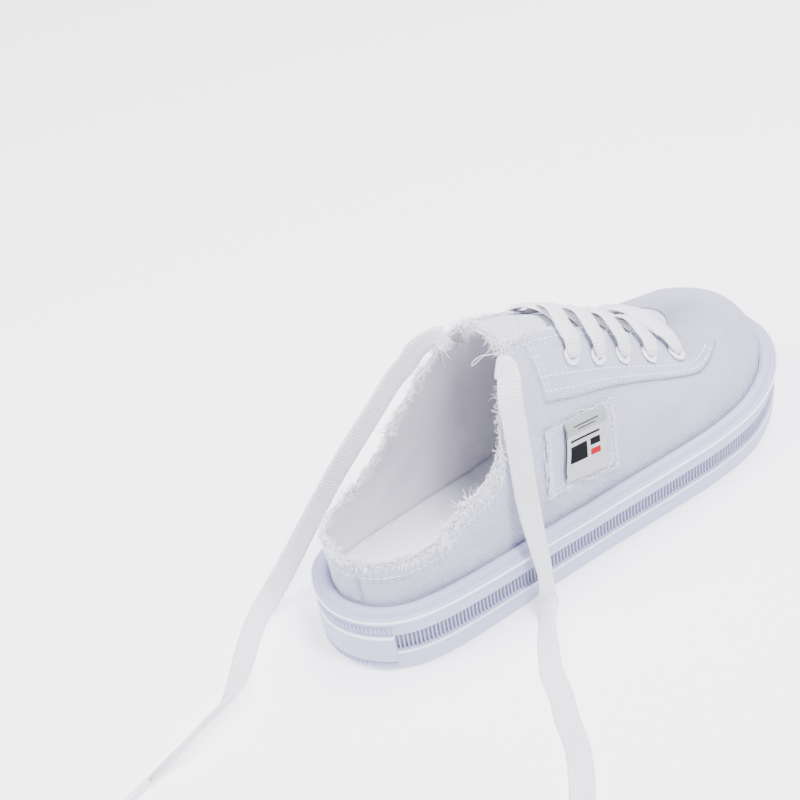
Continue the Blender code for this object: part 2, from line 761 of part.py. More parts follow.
def make_tongue(finish):
    top = tongue_grid()
    bottom = top - grid_outward(top) * TONGUE_THICKNESS
    tongue = add_object("tongue", sheet_mesh("tongue", top, bottom), finish)
    round_off(tongue)


def make_insole(finish):
    """Flat footbed board with a dished top that lies in the sole's cup."""
    inset = FEATHER_INSET + WALL + CLEARANCE
    stations = 20
    across = 5
    top = []
    bottom = []
    for station in range(stations + 1):
        fraction = 0.012 + 0.976 * station / stations
        ends = []
        for side in (1, 0):
            point, outward = PLAN.at(side, fraction)
            ends.append(point - outward * inset)
        top_row = []
        bottom_row = []
        for part in np.linspace(0, 1, across):
            spot = ends[0] * (1 - part) + ends[1] * part
            base = rim_height(length_share(spot[1])) - CUP_DEPTH + CLEARANCE
            dish = 0.0012 * (2 * part - 1) ** 2
            top_row.append((spot[0], spot[1], base + INSOLE_THICKNESS - 0.0012 + dish))
            bottom_row.append((spot[0], spot[1], base))
        top.append(top_row)
        bottom.append(bottom_row)
    insole = add_object("insole", sheet_mesh("insole", np.array(top), np.array(bottom)), finish)
    round_off(insole)


def side_plate(name, centre, size, tilt, lift, finish):
    """Thin cloth plate that follows the outer wall, lifted clear of what lies under it."""
    steps = 6
    rows = []
    for v in np.linspace(-0.5, 0.5, steps):
        row = []
        for u in np.linspace(0.5, -0.5, steps + 1):
            along = u * size[0] * math.cos(tilt) - v * size[1] * math.sin(tilt)
            up = u * size[0] * math.sin(tilt) + v * size[1] * math.cos(tilt)
            row.append(LAST.side_point((centre[0] - 0.5) * LENGTH + along, centre[1] + up))
        rows.append(row)
    grid = np.array(rows)[:, ::-1]
    outward = -np.cross(np.gradient(grid, axis=0), np.gradient(grid, axis=1))
    outward /= np.linalg.norm(outward, axis=2)[:, :, None]
    low = grid + outward * lift
    high = grid + outward * (lift + PLATE_THICKNESS)
    plate = add_object(name, sheet_mesh(name, high, low), finish)
    round_off(plate)


# Frayed edges

def fringe(name, route, outward, upward, finish):
    """Raw cloth edge: a thin strip along a route with torn locks fused on its upper edge."""
    count = len(route)
    vertices = []
    for index, (point, out, up) in enumerate(zip(route, outward, upward)):
        sway = math.sin(index * 2.399) * 0.5 + math.sin(index * 5.1 + 1.0) * 0.5
        tall = FRINGE_HEIGHT * (0.55 + 0.55 * abs(math.sin(index * 1.93 + 0.4))) * (1.35 if index % 2 else 0.6)
        lean = out * FRINGE_THICKNESS * 0.9 * sway
        low = point + up * CLEARANCE
        half = out * FRINGE_THICKNESS / 2
        vertices += [low + half, low + up * tall + half * 0.35 + lean, low + up * tall - half * 0.35 + lean, low - half]
    faces = []
    for index in range(count - 1):
        here = 4 * index
        there = here + 4
        for row in range(4):
            above = (row + 1) % 4
            faces.append((here + row, there + row, there + above, here + above))
    faces.append((0, 1, 2, 3))
    end = 4 * (count - 1)
    faces.append((end + 3, end + 2, end + 1, end))
    strip = add_object(name, mesh_from(name, vertices, faces), finish)
    round_off(strip)


def collar_edge(side):
    """Upper's top rim from the heel to the collar's corner, on the upper's own columns."""
    route = []
    ups = []
    for fraction in upper_fractions(side):
        column = LAST.column(side, fraction)
        if length_share(column[0][1]) > FRINGE_END:
            break
        top = edge_angle(side, column)
        point = LAST.on_column(column, top)
        up = point - LAST.on_column(column, top - 0.03)
        route.append(point)
        ups.append(up / np.linalg.norm(up))
    return route, ups


def make_collar_fringe(finish):
    outer_route, outer_ups = collar_edge(0)
    inner_route, inner_ups = collar_edge(1)
    route = np.array(list(reversed(inner_route[1:])) + outer_route)
    ups = np.array(list(reversed(inner_ups[1:])) + outer_ups)
    along = np.gradient(route, axis=0)
    outs = np.cross(along, ups)
    outs /= np.linalg.norm(outs, axis=1)[:, None]
    fringe("collar_fringe", route - outs * WALL / 2, outs, ups, finish)


def make_tongue_fringe(finish):
    grid = tongue_grid()
    outs = grid_outward(grid)
    middle = grid[0] - outs[0] * TONGUE_THICKNESS / 2
    ups = grid[0] - grid[1]
    ups /= np.linalg.norm(ups, axis=1)[:, None]
    count = 22
    parts = np.linspace(0, 1, count)
    steps = np.linspace(0, 1, len(middle))

    def spread(values):
        return np.array([[np.interp(part, steps, values[:, axis]) for axis in range(3)] for part in parts])

    fringe("tongue_fringe", spread(middle)[::-1], spread(outs[0])[::-1], spread(ups)[::-1], finish)


# Laces

def ribbon_mesh(name, centres, widths, half_widths=None):
    """Flat band along centres; widths are unit ways across the band."""
    centres = np.array(centres)
    widths = np.array(widths)
    along = np.gradient(centres, axis=0)
    along /= np.linalg.norm(along, axis=1)[:, None]
    widths = widths - along * np.sum(widths * along, axis=1)[:, None]
    widths /= np.linalg.norm(widths, axis=1)[:, None]
    faces_way = np.cross(along, widths)
    if half_widths is None:
        half_widths = np.full(len(centres), LACE_WIDTH / 2)
    vertices = []
    for centre, wide, face, half in zip(centres, widths, faces_way, half_widths):
        side = wide * half
        thick = face * LACE_THICKNESS / 2
        vertices += [centre + side + thick, centre + side - thick, centre - side - thick, centre - side + thick]
    faces = []
    for index in range(len(centres) - 1):
        here = 4 * index
        there = here + 4
        for row in range(4):
            after = (row + 1) % 4
            faces.append((here + row, here + after, there + after, there + row))
    faces.append((3, 2, 1, 0))
    end = 4 * (len(centres) - 1)
    faces.append((end, end + 1, end + 2, end + 3))
    return mesh_from(name, vertices, faces)


def strand(start, end, heights, points=9):
    """Lace strand across the throat: plan ends, with heights over the last at start, middle and end."""
    centres = []
    ways = []
    plan_way = np.array([start[1] - end[1], end[0] - start[0], 0.0])
    for part in np.linspace(0, 1, points):
        x = start[0] * (1 - part) + end[0] * part
        y = start[1] * (1 - part) + end[1] * part
        lift = np.interp(part, (0, 0.5, 1), heights)
        outward = LAST.normal(x, y)
        centres.append(np.array([x, y, LAST.height(x, y)]) + outward * lift)
        way = plan_way - outward * np.dot(plan_way, outward)
        ways.append(way / np.linalg.norm(way))
    return centres, ways


def make_laces(finish):
    places = eyelet_places()
    seat = EYESTAY_STEP + 3 * CLEARANCE + EYELET_FLANGE_HEIGHT + LACE_THICKNESS / 2 + 0.0005
    hem = LACE_THICKNESS / 2 + 0.0003 - WALL
    edge = THROAT[0][1] - 0.0050
    for index in range(len(EYELETS) - 1):
        outer = places[2 * index][1]
        inner = places[2 * index + 1][1]
        next_y = places[2 * index + 2][1][1] - 0.0055
        centre = (outer[0] + inner[0]) / 2
        over = strand((outer[0], outer[1]), (centre - edge, next_y), (seat, 0.0023, hem))
        under = strand((inner[0], inner[1]), (centre + edge, next_y), (seat, 0.0013, hem))
        crossing = add_object(f"lace_crossing_{index + 1}", ribbon_mesh("over", *over), finish)
        other = bpy.data.objects.new(f"lace_under_{index + 1}", ribbon_mesh("under", *under))
        bpy.context.collection.objects.link(other)
        other.hide_render = True
        other.display_type = "WIRE"
        join = crossing.modifiers.new("join", "BOOLEAN")
        join.operation = "UNION"
        join.object = other
    outer = places[-2][1]
    inner = places[-1][1]
    centres, ways = strand((outer[0], outer[1]), (inner[0], inner[1]), (seat, seat + 0.0015, seat))
    add_object("lace_bar", ribbon_mesh("lace_bar", centres, ways), finish)


def smooth_route(points, step):
    """Evenly stepped points of a smooth open curve through a route's own points."""
    knots = [np.array(point) for point in points]
    padded = [2 * knots[0] - knots[1]] + knots + [2 * knots[-1] - knots[-2]]
    dense = []
    for index in range(1, len(padded) - 2):
        before, start, end, after = padded[index - 1:index + 3]
        for part in np.linspace(0, 1, 12, endpoint=False):
            dense.append(0.5 * (2 * start + (end - before) * part
                                + (2 * before - 5 * start + 4 * end - after) * part ** 2
                                + (3 * start - before - 3 * end + after) * part ** 3))
    dense.append(knots[-1])
    dense = np.array(dense)
    run = np.concatenate([[0.0], np.cumsum(np.linalg.norm(np.diff(dense[:, :3], axis=0), axis=1))])
    count = max(4, round(run[-1] / step))
    stops = np.linspace(0, run[-1], count + 1)
    return np.array([[np.interp(stop, run, dense[:, axis]) for axis in range(dense.shape[1])] for stop in stops])


def over_rim(side, share):
    """Band centres and width ways where a lace end leaves the throat over the collar's rim."""
    column = LAST.column(side, PLAN.fraction_at(side, share))
    beside = LAST.column(side, PLAN.fraction_at(side, share + 0.004))
    top = edge_angle(side, column)
    point = LAST.on_column(column, top)
    along = LAST.on_column(beside, edge_angle(side, beside)) - point
    along /= np.linalg.norm(along)
    rise = point - LAST.on_column(column, top - 0.03)
    outward = np.cross(along, rise) * (1 if side == 0 else -1)
    outward /= np.linalg.norm(outward)
    up = np.cross(outward, along)
    up *= np.sign(up[2]) / np.linalg.norm(up)
    lift = 0.0022
    return [(point - outward * (WALL + lift) + up * 0.6 * lift, along),
            (point - outward * WALL / 2 + up * 1.25 * lift, along),
            (point + outward * 1.1 * lift + up * 1.1 * lift, along)]


def make_lace_end(name, route, finish, tip_finish):
    rows = smooth_route([(*centre, *way) for centre, way in route], 0.0065)
    centres = rows[:, :3]
    count = len(rows)
    shares = np.linspace(0, 1, count)
    half = np.interp(shares, (0, LACE_FULL_WIDTH, LACE_TAPER_START, 1),
                     (LACE_WIDTH / 5, LACE_WIDTH / 2, LACE_WIDTH / 2, 0.6 * AGLET_RADIUS))
    add_object("lace_end_" + name, ribbon_mesh(name, centres, rows[:, 3:], half), finish)
    away = centres[-1] - centres[-2]
    away[2] = 0.0
    away /= np.linalg.norm(away)
    start = centres[-1] + away * CLEARANCE
    tip = bmesh.new()
    bmesh.ops.create_cone(tip, cap_ends=True, segments=10, radius1=AGLET_RADIUS, radius2=0.85 * AGLET_RADIUS,
                          depth=AGLET_LENGTH)
    mesh = bpy.data.meshes.new("aglet_" + name)
    tip.to_mesh(mesh)
    tip.free()
    mesh.transform(turn_to(away))
    aglet = add_object("aglet_" + name, mesh, tip_finish)
    middle = start + away * (AGLET_LENGTH / 2)
    middle[2] = AGLET_RADIUS
    aglet.location = middle
    round_off(aglet)


def main():
    clear_scene()
    rubber = material("moulded_rubber", (0.86, 0.86, 0.88), 0.55)
    canvas = material("canvas", (0.84, 0.84, 0.87), 0.95)
    tongue_canvas = material("tongue_canvas", (0.82, 0.82, 0.85), 0.95)
    insole_cloth = material("insole_cloth", (0.74, 0.73, 0.76), 0.9)
    enamel = material("eyelet_enamel", (0.88, 0.88, 0.90), 0.35)
    lace_cloth = material("lace_cloth", (0.87, 0.87, 0.89), 0.9)
    aglet_film = material("aglet_film", (0.80, 0.80, 0.82), 0.3)
    fray = material("frayed_cotton", (0.88, 0.88, 0.89), 0.95)
    label_cloth = material("label_cloth", (0.55, 0.55, 0.52), 0.8)
    make_sole(rubber)
    make_upper(canvas)
    make_tongue(tongue_canvas)
    make_insole(insole_cloth)
    make_eyelets(enamel)
    side_plate("side_patch", PATCH_CENTRE, PATCH_SIZE, PATCH_TILT, CLEARANCE, canvas.copy())
    side_plate("woven_label", LABEL_CENTRE, LABEL_SIZE, LABEL_TILT, 2 * CLEARANCE + PLATE_THICKNESS, label_cloth)
    make_collar_fringe(fray)
    make_tongue_fringe(fray)
    make_laces(lace_cloth)
    outer_route = over_rim(0, OUTER_LACE_RIM) + list(OUTER_LACE_ROUTE)
    inner_route = over_rim(1, INNER_LACE_RIM) + list(INNER_LACE_ROUTE)
    make_lace_end("outer", outer_route, lace_cloth, aglet_film)
    make_lace_end("inner", inner_route, lace_cloth, aglet_film)


main()
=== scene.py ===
"""Looks of the right low-backed canvas sneaker: twill upper, moulded sole, flat laces, raw edges."""
import math

import bmesh
import bpy
import numpy as np
from mathutils import Matrix, Vector
from mathutils.bvhtree import BVHTree


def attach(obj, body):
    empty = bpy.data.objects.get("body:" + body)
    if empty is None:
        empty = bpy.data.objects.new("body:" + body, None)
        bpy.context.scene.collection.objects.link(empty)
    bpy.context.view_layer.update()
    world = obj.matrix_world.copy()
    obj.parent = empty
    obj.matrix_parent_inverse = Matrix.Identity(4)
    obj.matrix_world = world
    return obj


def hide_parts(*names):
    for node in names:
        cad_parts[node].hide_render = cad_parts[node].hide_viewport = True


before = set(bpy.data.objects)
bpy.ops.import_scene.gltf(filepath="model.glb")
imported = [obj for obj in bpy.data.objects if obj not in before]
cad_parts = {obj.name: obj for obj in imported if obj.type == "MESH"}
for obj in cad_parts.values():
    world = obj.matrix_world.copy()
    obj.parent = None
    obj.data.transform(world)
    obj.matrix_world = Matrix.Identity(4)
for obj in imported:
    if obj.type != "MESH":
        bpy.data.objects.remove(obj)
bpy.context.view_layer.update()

# Sizes of the sole, as in the part's own source
LENGTH = 0.262
BALL_WIDTH = 0.0927
SOLE_HEEL_HEIGHT = 0.0288
SOLE_WAIST_HEIGHT = 0.0255
SOLE_TOE_HEIGHT = 0.0285
TOE_SPRING = 0.0070
CUP_DEPTH = 0.0065
BEAD_HEIGHT = 0.0022
BEAD_INSET = 0.0076
GROOVE_DEPTH = 0.0022
GROOVE_END_GAP = 0.030
TREAD_GROOVE_WIDTH = 0.0030
TREAD_GROOVE_DEPTH = 0.0016
TREAD_PITCH = 0.0110
TREAD_MARGIN = 0.0085
TREAD_HEEL_GAP = 0.020
TREAD_TOE_GAP = 0.022
TREAD_WAIST = (0.36, 0.50)

# Ribs finer than the source's few broad ones, and a heel bumper that ends sooner than the source's
RIB_DEPTH = 0.0015
RIB_PITCH = 0.0018
BUMPER_HALF_ARC = 0.0275

# Sizes of the upper and its trims
WALL = 0.0018
CLEARANCE = 0.0004
CROWN_HEIGHT = 0.1170
COLLAR_HEEL_HEIGHT = 0.0520
COLLAR_TOP_HEIGHT = 0.1120
EYESTAY_STEP = 0.0008
FULLNESS = 2.15
HEEL_BAND = 0.0085
TONGUE_THICKNESS = 0.0022
TONGUE_TUCK = 0.0048
INSOLE_THICKNESS = 0.0040
EYELET_HOLE_RADIUS = 0.0025
EYELET_FLANGE_RADIUS = 0.0043
LACE_WIDTH = 0.0095
LACE_THICKNESS = 0.0012
AGLET_LENGTH = 0.021
AGLET_RADIUS = 0.0016
PATCH_SIZE = (0.0365, 0.0302)
LABEL_SIZE = (0.0220, 0.0272)
PATCH_THICKNESS = 0.0008
LABEL_THICKNESS = 0.0006
THREAD_WIDTH = 0.00075
STITCH_LENGTH = 0.0023
STITCH_GAP = 0.0008

# Shares of the ball's half width and of the length, from the heel round the outer side
OUTLINE = (
    (-0.06, 0.000), (0.27, 0.016), (0.52, 0.057), (0.66, 0.120), (0.745, 0.235), (0.79, 0.350),
    (0.86, 0.475), (0.945, 0.600), (1.00, 0.710), (0.965, 0.810), (0.745, 0.905), (0.365, 0.975),
    (-0.10, 1.000), (-0.50, 0.975), (-0.81, 0.916), (-0.985, 0.820), (-1.00, 0.725), (-0.91, 0.610),
    (-0.81, 0.490), (-0.77, 0.360), (-0.775, 0.235), (-0.765, 0.120), (-0.655, 0.055), (-0.40, 0.016),
)
TOE_POINT = 12
CROWN = ((0.00, 1.090), (0.20, 1.060), (0.35, 1.012), (0.42, 0.962), (0.46, 0.920), (0.50, 0.868),
         (0.54, 0.808), (0.58, 0.744), (0.62, 0.682), (0.66, 0.620), (0.69, 0.580), (0.72, 0.552))
COLLAR_OUTER = ((0.00, 0.00), (0.120, 0.00), (0.155, 0.01), (0.175, 0.08), (0.200, 0.150), (0.225, 0.18),
                (0.255, 0.215), (0.280, 0.30), (0.295, 0.46), (0.312, 0.65), (0.332, 0.82), (0.352, 0.96),
                (0.375, 1.08), (0.410, 1.30))
COLLAR_INNER = ((0.00, 0.00), (0.08, -0.03), (0.13, -0.01), (0.17, 0.07), (0.205, 0.20), (0.240, 0.38),
                (0.275, 0.56), (0.305, 0.74), (0.330, 0.90), (0.360, 1.05), (0.400, 1.30))
THROAT = ((0.35, 0.0112), (0.50, 0.0115), (0.72, 0.0125))
EYELETS = ((0.469, 0.0190), (0.522, 0.0207), (0.576, 0.0217), (0.636, 0.0228), (0.701, 0.0240))
EYESTAY_REAR = 0.390
EYESTAY_EDGE = ((0.39, 0.0235), (0.50, 0.0265), (0.59, 0.0290), (0.67, 0.0315), (0.72, 0.0330),
                (0.80, 0.0330))
HEEL_FAN = 0.15
VAMP_FAN = 0.7176
SPINE_TOE_SHIFT = -0.0030
TONGUE_TOP = 0.360
TONGUE_ROOT = 0.778
PATCH_CENTRE = (0.4347, 0.0554)
PATCH_TILT = math.radians(-7.0)
LABEL_CENTRE = (0.442, 0.0562)
LABEL_TILT = math.radians(-8.0)

# Centre of each loose lace end and the way its width points, as in the part's own source
OUTER_LACE_RIM = 0.338
OUTER_LACE_ROUTE = (
    ((0.0220, -0.0450, 0.1035), (0.20, 0.70, 0.60)),
    ((0.0255, -0.0485, 0.0970), (0.50, 0.80, 0.15)),
    ((0.0285, -0.0502, 0.0850), (0.57, 0.82, 0.00)),
    ((0.0305, -0.0510, 0.0710), (0.55, 0.84, 0.00)),
    ((0.0325, -0.0520, 0.0570), (0.50, 0.86, 0.00)),
    ((0.0350, -0.0527, 0.0440), (0.30, 0.95, 0.00)),
    ((0.0378, -0.0532, 0.0330), (0.00, 1.00, 0.00)),
    ((0.0402, -0.0536, 0.0220), (-0.30, 0.95, 0.05)),
    ((0.0418, -0.0545, 0.0125), (-0.30, 0.90, 0.30)),
    ((0.0440, -0.0570, 0.0065), (-0.10, 0.80, 0.55)),
    ((0.0482, -0.0615, 0.0044), (0.15, 0.72, 0.66)),
    ((0.0540, -0.0680, 0.0038), (0.35, 0.70, 0.60)),
    ((0.0610, -0.0745, 0.0026), (0.50, 0.75, 0.36)),
    ((0.0690, -0.0810, 0.0012), (0.58, 0.80, 0.05)),
    ((0.0790, -0.0865, 0.0010), (0.52, 0.85, 0.00)),
    ((0.0894, -0.0940, 0.0010), (0.55, 0.83, 0.00)),
    ((0.1010, -0.1010, 0.0010), (0.57, 0.82, 0.00)),
    ((0.1124, -0.1110, 0.0010), (0.70, 0.71, 0.00)),
    ((0.1230, -0.1225, 0.0010), (0.72, 0.69, 0.00)),
    ((0.1340, -0.1340, 0.0010), (0.72, 0.69, 0.00)),
    ((0.1450, -0.1455, 0.0012), (0.72, 0.69, 0.00)),
)
INNER_LACE_RIM = 0.330
INNER_LACE_ROUTE = (
    ((-0.0236, -0.0512, 0.1028), (-0.05, -0.25, 0.95)),
    ((-0.0270, -0.0560, 0.0955), (-0.20, -0.40, 0.88)),
    ((-0.0310, -0.0620, 0.0880), (-0.28, -0.47, 0.84)),
    ((-0.0335, -0.0745, 0.0755), (-0.28, -0.47, 0.84)),
    ((-0.0358, -0.0865, 0.0640), (-0.28, -0.47, 0.84)),
    ((-0.0382, -0.0985, 0.0510), (-0.28, -0.50, 0.80)),
    ((-0.0412, -0.1075, 0.0385), (-0.30, -0.55, 0.75)),
    ((-0.0440, -0.1150, 0.0275), (-0.35, -0.60, 0.65)),
    ((-0.0470, -0.1225, 0.0160), (-0.50, -0.62, 0.50)),
    ((-0.0495, -0.1300, 0.0065), (-0.75, -0.45, 0.35)),
    ((-0.0475, -0.1400, 0.0018), (-0.88, -0.42, 0.05)),
    ((-0.0400, -0.1505, 0.0010), (-0.72, -0.69, 0.00)),
    ((-0.0310, -0.1610, 0.0010), (-0.70, -0.71, 0.00)),
    ((-0.0235, -0.1700, 0.0016), (-0.72, -0.62, -0.18)),
    ((-0.0180, -0.1790, 0.0036), (-0.50, -0.25, -0.78)),
    ((-0.0148, -0.1900, 0.0046), (-0.33, -0.08, -0.93)),
    ((-0.0125, -0.2020, 0.0042), (-0.55, -0.08, -0.80)),
    ((-0.0108, -0.2130, 0.0026), (-0.88, -0.10, -0.42)),
    ((-0.0094, -0.2220, 0.0018), (-0.98, -0.12, -0.10)),
)
LACE_FULL_WIDTH = 0.045
LACE_TAPER_START = 0.93

# Heights of the strands over the last, from the eyelet to the far edge, and how tight the first lies
OVER_HEIGHTS = (0.0036, 0.0036, 0.0040, 0.0024, -0.0012)
UNDER_HEIGHTS = (0.0036, 0.0034, 0.0018, 0.0004, -0.0012)
BAR_HEIGHTS = (0.0036, 0.0036, 0.0046, 0.0040, 0.0036)
FIRST_SLACK = 0.78
STRAND_SPREAD = 0.0088
STRAND_TUCK = 0.0050
STRAND_THICKNESS = 0.0015

# Creases in the cloth: start, end, width and depth (inwards), metres
CREASES = (
    ((0.010, 0.078, 0.062), (0.031, 0.066, 0.046), 0.0045, 0.0011),
    ((-0.004, 0.090, 0.060), (0.024, 0.092, 0.047), 0.0050, 0.0008),
    ((0.018, 0.074, 0.058), (0.006, 0.098, 0.057), 0.0040, 0.0007),
    ((0.034, 0.050, 0.045), (0.039, 0.020, 0.034), 0.0050, 0.0010),
    ((0.033, 0.034, 0.052), (0.036, 0.010, 0.040), 0.0042, 0.0008),
    ((0.028, -0.034, 0.060), (0.031, -0.020, 0.036), 0.0050, 0.0008),
    ((0.027, -0.060, 0.052), (0.030, -0.040, 0.035), 0.0055, 0.0010),
    ((0.026, -0.082, 0.048), (0.028, -0.066, 0.034), 0.0050, 0.0009),
    ((0.030, 0.000, 0.040), (0.035, 0.024, 0.033), 0.0045, 0.0007),
    ((-0.024, 0.084, 0.056), (-0.036, 0.060, 0.044), 0.0050, 0.0010),
    ((-0.034, 0.050, 0.046), (-0.036, 0.018, 0.036), 0.0050, 0.0010),
    ((-0.030, -0.010, 0.054), (-0.030, -0.040, 0.040), 0.0055, 0.0009),
    ((-0.027, -0.060, 0.056), (-0.028, -0.086, 0.038), 0.0050, 0.0009),
    ((0.0335, -0.0880, 0.0520), (0.0345, -0.0790, 0.0470), 0.0018, 0.0005),
    ((0.0335, -0.0870, 0.0475), (0.0350, -0.0770, 0.0425), 0.0018, 0.0005),
    ((0.0330, -0.0680, 0.0500), (0.0350, -0.0590, 0.0420), 0.0020, 0.0006),
    ((0.0335, -0.0665, 0.0450), (0.0355, -0.0575, 0.0370), 0.0020, 0.0006),
    ((0.0340, -0.0560, 0.0560), (0.0350, -0.0440, 0.0400), 0.0030, 0.0008),
    ((0.0350, -0.0350, 0.0430), (0.0370, -0.0120, 0.0340), 0.0035, 0.0008),
    ((0.0360, 0.0140, 0.0430), (0.0350, 0.0460, 0.0420), 0.0040, 0.0008),
)

# Seam at the heel, band under the raw collar and cloth gathered at the edges
HEEL_SEAM_PLACE = 0.0056
HEEL_SEAM_LEAN = 0.07
HEEL_SEAM_DEPTH = 0.0013
HEEL_BAND_STEP = 0.0007
HEEL_BAND_GROOVE = 0.0005
EDGE_PUCKER = 0.00022
COLLAR_FRILL = 0.0005


# Small mesh helpers

def add_piece(name, mesh, *finishes):
    for finish in finishes:
        mesh.materials.append(finish)
    piece = bpy.data.objects.new(name, mesh)
    bpy.context.collection.objects.link(piece)
    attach(piece, "root")
    return piece


def mesh_from(name, vertices, faces, uvs=None, slots=None):
    """Mesh with smooth faces; uvs holds one pair for each corner of each face."""
    mesh = bpy.data.meshes.new(name)
    mesh.from_pydata([tuple(map(float, vertex)) for vertex in vertices], [], faces)
    if uvs is not None:
        layer = mesh.uv_layers.new(name="cloth")
        layer.data.foreach_set("uv", np.asarray(uvs, dtype=np.float32).ravel())
    mesh.polygons.foreach_set("use_smooth", [True] * len(mesh.polygons))
    if slots is not None:
        mesh.polygons.foreach_set("material_index", slots)
    mesh.update()
    return mesh


def lookup(table, share):
    shares, values = zip(*table)
    return np.interp(share, shares, values)


def eased(table, share):
    spread = 0.012
    return (0.25 * lookup(table, share - spread) + 0.5 * lookup(table, share)
            + 0.25 * lookup(table, share + spread))


def unit(vector):
    vector = np.asarray(vector, dtype=float)
    return vector / np.linalg.norm(vector)


def run_along(points):
    """Distance of each point of a line from its first, along the line."""
    return np.concatenate([[0.0], np.cumsum(np.linalg.norm(np.diff(points, axis=0), axis=1))])


def run_up(grid):
    """Distance of each point of a grid from the first of its column, along the column."""
    steps = np.linalg.norm(np.diff(grid, axis=1), axis=2)
    return np.concatenate([np.zeros((len(grid), 1)), np.cumsum(steps, axis=1)], axis=1)


def between(before, start, end, after, part):
    """Point of a smooth curve from start to end, with the knots on either side."""
    return 0.5 * (2 * start + (end - before) * part
                  + (2 * before - 5 * start + 4 * end - after) * part ** 2
                  + (3 * start - before - 3 * end + after) * part ** 3)


def face_outwards(mesh):
    body = bmesh.new()
    body.from_mesh(mesh)
    bmesh.ops.recalc_face_normals(body, faces=body.faces)
    body.to_mesh(mesh)
    body.free()


def leave_all():
    if bpy.context.object and bpy.context.object.mode != "OBJECT":
        bpy.ops.object.mode_set(mode="OBJECT")
    bpy.ops.object.select_all(action="DESELECT")


def work_on(piece):
    leave_all()
    piece.select_set(True)
    bpy.context.view_layer.objects.active = piece


def cut_with(piece, shapes, name):
    """Takes one joined set of cutting shapes out of a piece."""
    mesh = bpy.data.meshes.new(name)
    shapes.to_mesh(mesh)
    shapes.free()
    cutter = bpy.data.objects.new(name, mesh)
    bpy.context.collection.objects.link(cutter)
    work_on(piece)
    cut = piece.modifiers.new(name, "BOOLEAN")
    cut.operation = "DIFFERENCE"
    cut.object = cutter
    bpy.ops.object.modifier_apply(modifier=name)
    bpy.data.objects.remove(cutter, do_unlink=True)


def grid_ways(grid, wrap):
    """Outward ways of a grid of points whose first index runs round and second runs up."""
    round_way = np.roll(grid, -1, axis=0) - np.roll(grid, 1, axis=0) if wrap else np.gradient(grid, axis=0)
    way = np.cross(round_way, np.gradient(grid, axis=1))
    return way / np.maximum(np.linalg.norm(way, axis=2), 1e-12)[:, :, None]


def ring_mesh(name, loops, around, run, slot_of=None):
    """Closed tube: loops[column][row] is a closed section, swept round a closed ring of columns."""
    count, rows = loops.shape[:2]
    faces = []
    uvs = []
    slots = []
    for column in range(count):
        after = (column + 1) % count
        u = (around[column], around[column + 1])
        for row in range(rows):
            above = (row + 1) % rows
            faces.append((column * rows + row, after * rows + row,
                          after * rows + above, column * rows + above))
            uvs += [(u[0], run[column][row]), (u[1], run[after][row]),
                    (u[1], run[after][row + 1]), (u[0], run[column][row + 1])]
            slots.append(slot_of(row) if slot_of else 0)
    return mesh_from(name, loops.reshape(-1, 3), faces, uvs, slots)


# Outline, sole heights and last, as in the part's own source

def closed_curve(points, steps):
    count = len(points)
    curve = []
    for index in range(count):
        before, start, end, after = (np.array(points[(index + shift) % count]) for shift in (-1, 0, 1, 2))
        for step in range(steps):
            curve.append(between(before, start, end, after, step / steps))
    return np.array(curve)


class Outline:
    def __init__(self):
        steps = 24
        points = [(share_x * BALL_WIDTH / 2, (share_y - 0.5) * LENGTH) for share_x, share_y in OUTLINE]
        curve = closed_curve(points, steps)
        tangent = np.roll(curve, -1, axis=0) - np.roll(curve, 1, axis=0)
        tangent /= np.linalg.norm(tangent, axis=1)[:, None]
        outward = np.stack([tangent[:, 1], -tangent[:, 0]], axis=1)
        toe = TOE_POINT * steps
        outer = np.arange(0, toe + 1)
        inner = np.arange(len(curve), toe - 1, -1) % len(curve)
        self.sides = []
        for order in (outer, inner):
            self.sides.append((run_along(curve[order]), curve[order], outward[order]))

    def run_length(self, side):
        return self.sides[side][0][-1]

    def at(self, side, fraction):
        run, points, outward = self.sides[side]
        place = fraction * run[-1]
        point = np.array([np.interp(place, run, points[:, axis]) for axis in (0, 1)])
        normal = np.array([np.interp(place, run, outward[:, axis]) for axis in (0, 1)])
        return point, normal / np.linalg.norm(normal)

    def fraction_at(self, side, share):
        run, points, _ = self.sides[side]
        return np.interp((share - 0.5) * LENGTH, points[:, 1], run / run[-1])


PLAN = Outline()


def length_share(y):
    return y / LENGTH + 0.5


def rim_height(share):
    return np.interp(share, (0.10, 0.42, 0.72, 1.0),
                     (SOLE_HEEL_HEIGHT, SOLE_WAIST_HEIGHT, SOLE_WAIST_HEIGHT + 0.0005, SOLE_TOE_HEIGHT))


def tread_height(share):
    return TOE_SPRING * np.clip((share - 0.74) / 0.26, 0, 1) ** 2


def spine_point(share):
    held = float(np.clip(share, HEEL_FAN, VAMP_FAN))
    shift = SPINE_TOE_SHIFT * np.clip((held - 0.45) / (VAMP_FAN - 0.45), 0, 1)
    return np.array([shift, (held - 0.5) * LENGTH])


def crown_height(share):
    return eased(CROWN, float(np.clip(share, 0, VAMP_FAN))) * CROWN_HEIGHT


